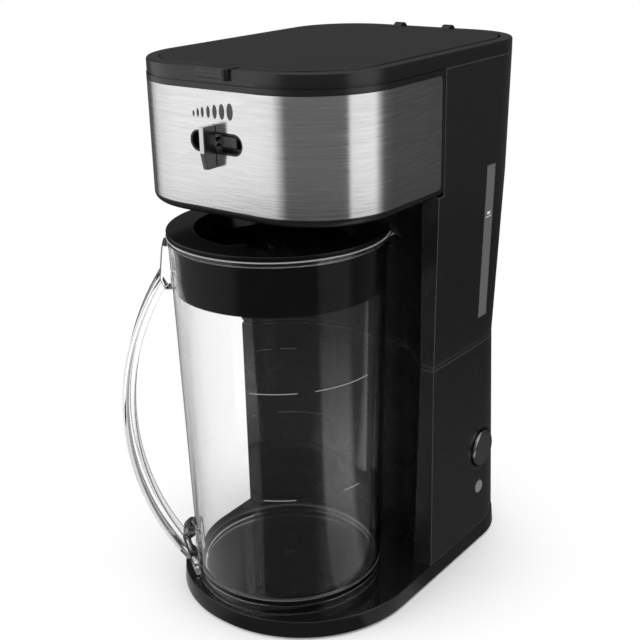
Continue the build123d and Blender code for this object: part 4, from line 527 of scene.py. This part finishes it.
def level_line(name, z, start, end):
    """Fine raised line on the wall: an ellipse (0.15 out, 0.27 up) swept from one bearing to
    another at one height, narrowed to a point at its ends."""
    s = np.linspace(0, 1, 60)[:, None]
    t = np.linspace(0, 2 * pi, 9)[None, :-1]
    bearing = radians(start) + radians(end - start) * s
    narrow = np.clip(np.minimum(s, 1 - s) * 30, 0, 1) ** 0.5
    radius = wall_radius(z) + 0.15 * narrow * np.cos(t)
    points = np.stack((radius * np.cos(bearing), radius * np.sin(bearing),
                       z + 0.27 * narrow * np.sin(t)), axis=-1)
    line = surface(name, points, frosted)
    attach(line, "pitcher")


# height, then the two bearings in degrees
for number, (level, start, end) in enumerate((
    (158.0, -69.0, -43.4), (158.0, -34.8, 1.0),
    (90.9, -64.0, -45.8), (90.9, -17.5, -6.0),
    (90.9, 102.0, 134.0), (90.9, 149.0, 152.0),
    (136.0, 120.4, 131.0), (136.0, 136.0, 146.4),
)):
    level_line(f"level_line_{number + 1}", level, start, end)


# ------------------------------------------------------------------ marks on the machine
panel_face_y, oval_low_z = -48.7, 305.2
window_lean = 3.2    # how far back the window's top stands from its foot


def printed_oval(name, x, z, width, tall):
    """Thin lens on the panel: half axes a, b; at share f of them it stands h (1 - f^2) proud."""
    f = np.concatenate((np.linspace(0, 1, 8), np.linspace(0.999, 0, 4)))[:, None]
    t = np.linspace(0, 2 * pi, 41)[None, :-1]
    proud = np.concatenate((0.05 * (1 - np.linspace(0, 1, 8) ** 2) + 0.02,
                            np.full(4, -0.05)))[:, None]
    points = np.stack((x + width / 2 * f * np.cos(t), panel_face_y - proud + 0 * t,
                       z + tall / 2 * f * np.sin(t)), axis=-1)
    oval = surface(name, points, ink, 60.0)
    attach(oval, "machine")


for number, (x, width, tall) in enumerate((
    (-14.7, 1.5, 3.2), (-11.7, 1.8, 4.5), (-8.5, 2.1, 5.5), (-4.4, 2.5, 6.3),
    (0.1, 3.1, 7.3), (5.0, 3.7, 8.1), (10.5, 4.3, 8.9),
)):
    printed_oval(f"strength_oval_{number + 1}", x, oval_low_z + tall / 2, width, tall)


def window_face(y, z):
    """Outermost x of the water window at that width and height, in mm."""
    skin = BVHTree.FromObject(nodes["water_window"], bpy.context.evaluated_depsgraph_get())
    hit = skin.ray_cast(Vector((200, y, z)) * MM, Vector((-1, 0, 0)))[0]
    return hit.x / MM


def window_mark(name, z, half_width, half_height):
    """Flat bar on the water window: a superellipse of power 6.7 in y and z, 0.12 proud of the
    face x(z) = x0 + k (z - z0)."""
    low, high = (corner / MM for corner in map(np.asarray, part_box("water_window")))
    share = (z - low[2]) / (high[2] - low[2])
    y = (low[1] + high[1]) / 2 + window_lean * (share - 0.5)
    face = window_face(y, z)
    slope = window_face(y, z + 1) - face
    t = np.linspace(0, 2 * pi, 25)[:-1]
    c, s = (np.sign(f) * np.abs(f) ** 0.3 for f in (np.cos(t), np.sin(t)))
    rows = [(0, 0.12), (0.97, 0.12), (1, 0.06), (1, -0.08), (0, -0.08)]
    points = np.stack([np.stack((face + out + slope * half_height * part * s,
                                 y + half_width * part * c,
                                 z + half_height * part * s), axis=-1)
                       for part, out in rows])
    mark = surface(name, points, natural, 40.0)
    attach(mark, "machine")


window_mark("window_mark_line", 228.0, 3.6, 0.22)
window_mark("window_mark_bar", 230.2, 1.9, 0.85)


def coil_spring(name, turns, wire):
    """Round wire on a helix about X: x = x0 + rise(s), y = yc + R cos t, z = zc + R sin t,
    t = 2 pi turns s. Over the first and last tenth it doesn't rise, so its ends lie flat."""
    low, high = (corner / MM for corner in map(np.asarray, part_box("button_spring")))
    middle = (low + high) / 2
    radius = (high[2] - low[2]) / 2 - wire
    s = np.linspace(0, 1, 40 * turns + 1)[:, None]
    t = 2 * pi * turns * s
    rise = np.clip((s - 0.1) / 0.8, 0, 1)
    ring = np.linspace(0, 2 * pi, 11)[None, :-1]
    end = np.clip(np.minimum(s, 1 - s) * 400, 0, 1)
    out = radius + wire * end * np.cos(ring)
    points = np.stack((low[0] + wire + (high[0] - low[0] - 2 * wire) * rise
                       + wire * end * np.sin(ring),
                       middle[1] + out * np.cos(t), middle[2] + out * np.sin(t)), axis=-1)
    coil = surface(name, points, zinc)
    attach(coil, "machine")
    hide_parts("button_spring")
    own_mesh(coil)


coil_spring("button_coil", 3, 0.42)


# ------------------------------------------------------------------ stage and light
card_radius, card_height, card_lift = 0.75, 0.95, 0.0004
away_x, away_y = -0.605, 0.796    # the camera's view along the floor
clear_gain = 0.12    # makes up for the light that clear walls throw back


def mirrored(b):
    """1 for light that has met a mirror-like surface on its way, also behind clear plastic."""
    depth = b.add("LightPath", out="Glossy Depth")
    dull = b.add("LightPath", out="Is Diffuse Ray")
    return b.add("Math", {"operation": "MINIMUM"}, {0: depth, 1: 1.0}) * (1.0 - dull)


def card_light(b):
    """Brightness of the room by azimuth, counted from the front towards the button's side:
    a bright wall to the front left, a dim one to the front right, a bright strip, then dark.
    Near the floor only the strip stays bright. Behind the machine, light that comes
    through clear plastic meets the white backdrop."""
    x, y, z = (b.add("SeparateXYZ", None, {0: b.place()}, out=k) for k in range(3))
    azimuth = b.add("Math", {"operation": "ARCTAN2"}, {0: x, 1: y * -1.0})
    stops = ((-180, 0.10), (-98, 0.10), (-90, 0.60), (-78, 0.92), (-44, 1.10), (-28, 1.06),
             (-13, 1.0), (3, 0.16), (76, 0.16), (79, 1.0), (111, 1.05), (118, 0.45),
             (125, 0.12), (147, 0.07), (180, 0.10))
    ramp = b.add("ValToRGB", {"stops": [((a + 180) / 360, s) for a, s in stops]},
                 {0: azimuth / (2 * pi) + 0.5})
    low_stops = ((-180, 0.0), (76, 0.0), (80, 1.0), (110, 1.0), (118, 0.0), (180, 0.0))
    strip = b.add("ValToRGB", {"stops": [((a + 180) / 360, s) for a, s in low_stops]},
                  {0: azimuth / (2 * pi) + 0.5})
    out = (x * x + y * y) ** 0.5
    strip = strip * b.add("ValToRGB", {"stops": [
        (0.0, 0.25), (0.13, 0.30), (0.20, 0.80), (0.27, 0.80), (0.50, 0.05)]}, {0: out})
    behind = b.blend((y * away_y + x * away_x) / out, 0.45, 0.75, 0.0, 0.75)
    near = b.blend(out, 0.10, 0.20, 0.34, 0.12, smooth=False)
    rise = b.blend(z, 0.02, 0.09, 0.0, 1.0)
    least = b.blend(out, 0.25, 0.55, 0.10, 0.04, smooth=False)
    level = b.greater(ramp * (near + rise * (1.0 - near)), strip + least)
    through = behind * (1.0 - rise * 0.8) * b.add("LightPath", out="Is Transmission Ray")
    return b.greater(level, through)


def make_cards():
    """Round wall and floor of light cards that only mirror-like surfaces see."""
    b = Board("card_light")
    glow = b.add("Emission", None, {"Color": grey(1.0), "Strength": card_light(b)})
    unseen = b.add("BsdfTransparent")
    b.finish(b.add("MixShader", None, {0: mirrored(b), 1: unseen, 2: glow}))
    turns = np.linspace(0, 2 * pi, 97)[:-1]
    rows = [(0.0, card_lift), (card_radius, card_lift), (card_radius, card_height)]
    points = np.stack([np.stack((r * np.cos(turns), r * np.sin(turns), z + 0 * turns), axis=-1)
                       for r, z in rows]) / MM
    card = make_object("cards", points.reshape(-1, 3), grid_faces(3, 96), b.material)
    card.visible_camera = card.visible_diffuse = False
    card.visible_shadow = card.visible_volume_scatter = False


def make_floor():
    """Pale floor that keeps the shadow and turns plain white further out."""
    b = Board("floor_paint")
    paint = b.add("BsdfPrincipled", None, {
        "Base Color": b.mix(b.noise(3.0, 2.0), grey(0.90), grey(0.93)), "Roughness": 0.9,
        "Specular IOR Level": 0.0})
    camera_ray = b.add("LightPath", out="Is Camera Ray")
    clear_ray = b.add("LightPath", out="Is Transmission Ray")
    white = b.add("Emission", None, {"Color": grey(1.0), "Strength": clear_ray * clear_gain + 1.0})
    place = b.add("Mapping", {"vector_type": "POINT"},
                  {"Vector": b.place(), "Location": (0.0, -0.05, 0.0)})
    out = b.add("VectorMath", {"operation": "LENGTH"}, {0: place}, out=1)
    fade = b.blend(out, 0.07, 0.20, 0.0, 1.0)
    direct = b.greater(camera_ray, clear_ray)
    seen = b.add("MixShader", None, {0: fade * direct, 1: paint, 2: white})
    dim = b.add("Emission", None, {"Color": grey(1.0), "Strength": 0.10})
    b.finish(b.add("MixShader", None, {0: mirrored(b), 1: seen, 2: dim}))
    side = 8.0
    mesh = bpy.data.meshes.new("floor")
    mesh.from_pydata([(-side, -side, 0), (side, -side, 0), (side, side, 0), (-side, side, 0)],
                     [], [(0, 1, 2, 3)])
    floor = bpy.data.objects.new("floor", mesh)
    bpy.context.scene.collection.objects.link(floor)
    mesh.materials.append(b.material)


def make_world():
    """White room for the camera, through clear plastic and for soft light, dim in mirrors."""
    world = bpy.data.worlds.new("room")
    world.use_nodes = True
    bpy.context.scene.world = world
    b = Board("room", world.node_tree)
    up = b.add("SeparateXYZ", None, {0: b.add("TexCoord")}, out=2)
    overhead = b.blend(up, 0.60, 0.72, 0.14, 0.75)
    through = b.add("LightPath", out="Is Transmission Ray") * clear_gain
    dim = mirrored(b)
    sky = b.add("Background", None, {
        "Color": grey(1.0),
        "Strength": 1.0 - dim * (1.0 - overhead) + through * (1.0 - dim)})
    b.finish(sky, "OutputWorld")


def softbox(name, place, aim, size, power):
    """Rectangular lamp that faces a point; mirror-like surfaces see the cards in its place."""
    lamp = bpy.data.lights.new(name, "AREA")
    lamp.shape, lamp.size, lamp.size_y, lamp.energy = "RECTANGLE", size[0], size[1], power
    holder = bpy.data.objects.new(name, lamp)
    bpy.context.scene.collection.objects.link(holder)
    holder.location = place
    holder.rotation_euler = (Vector(aim) - Vector(place)).to_track_quat("-Z", "Y").to_euler()
    holder.visible_glossy = False


make_floor()
make_cards()
make_world()
softbox("light_left", (-1.1, -1.3, 0.9), (0, 0, 0.2), (0.9, 1.4), 9)
softbox("light_top", (0.2, 0.2, 1.8), (0, 0, 0.1), (1.4, 1.4), 10)

bpy.context.scene.view_settings.view_transform = "Standard"
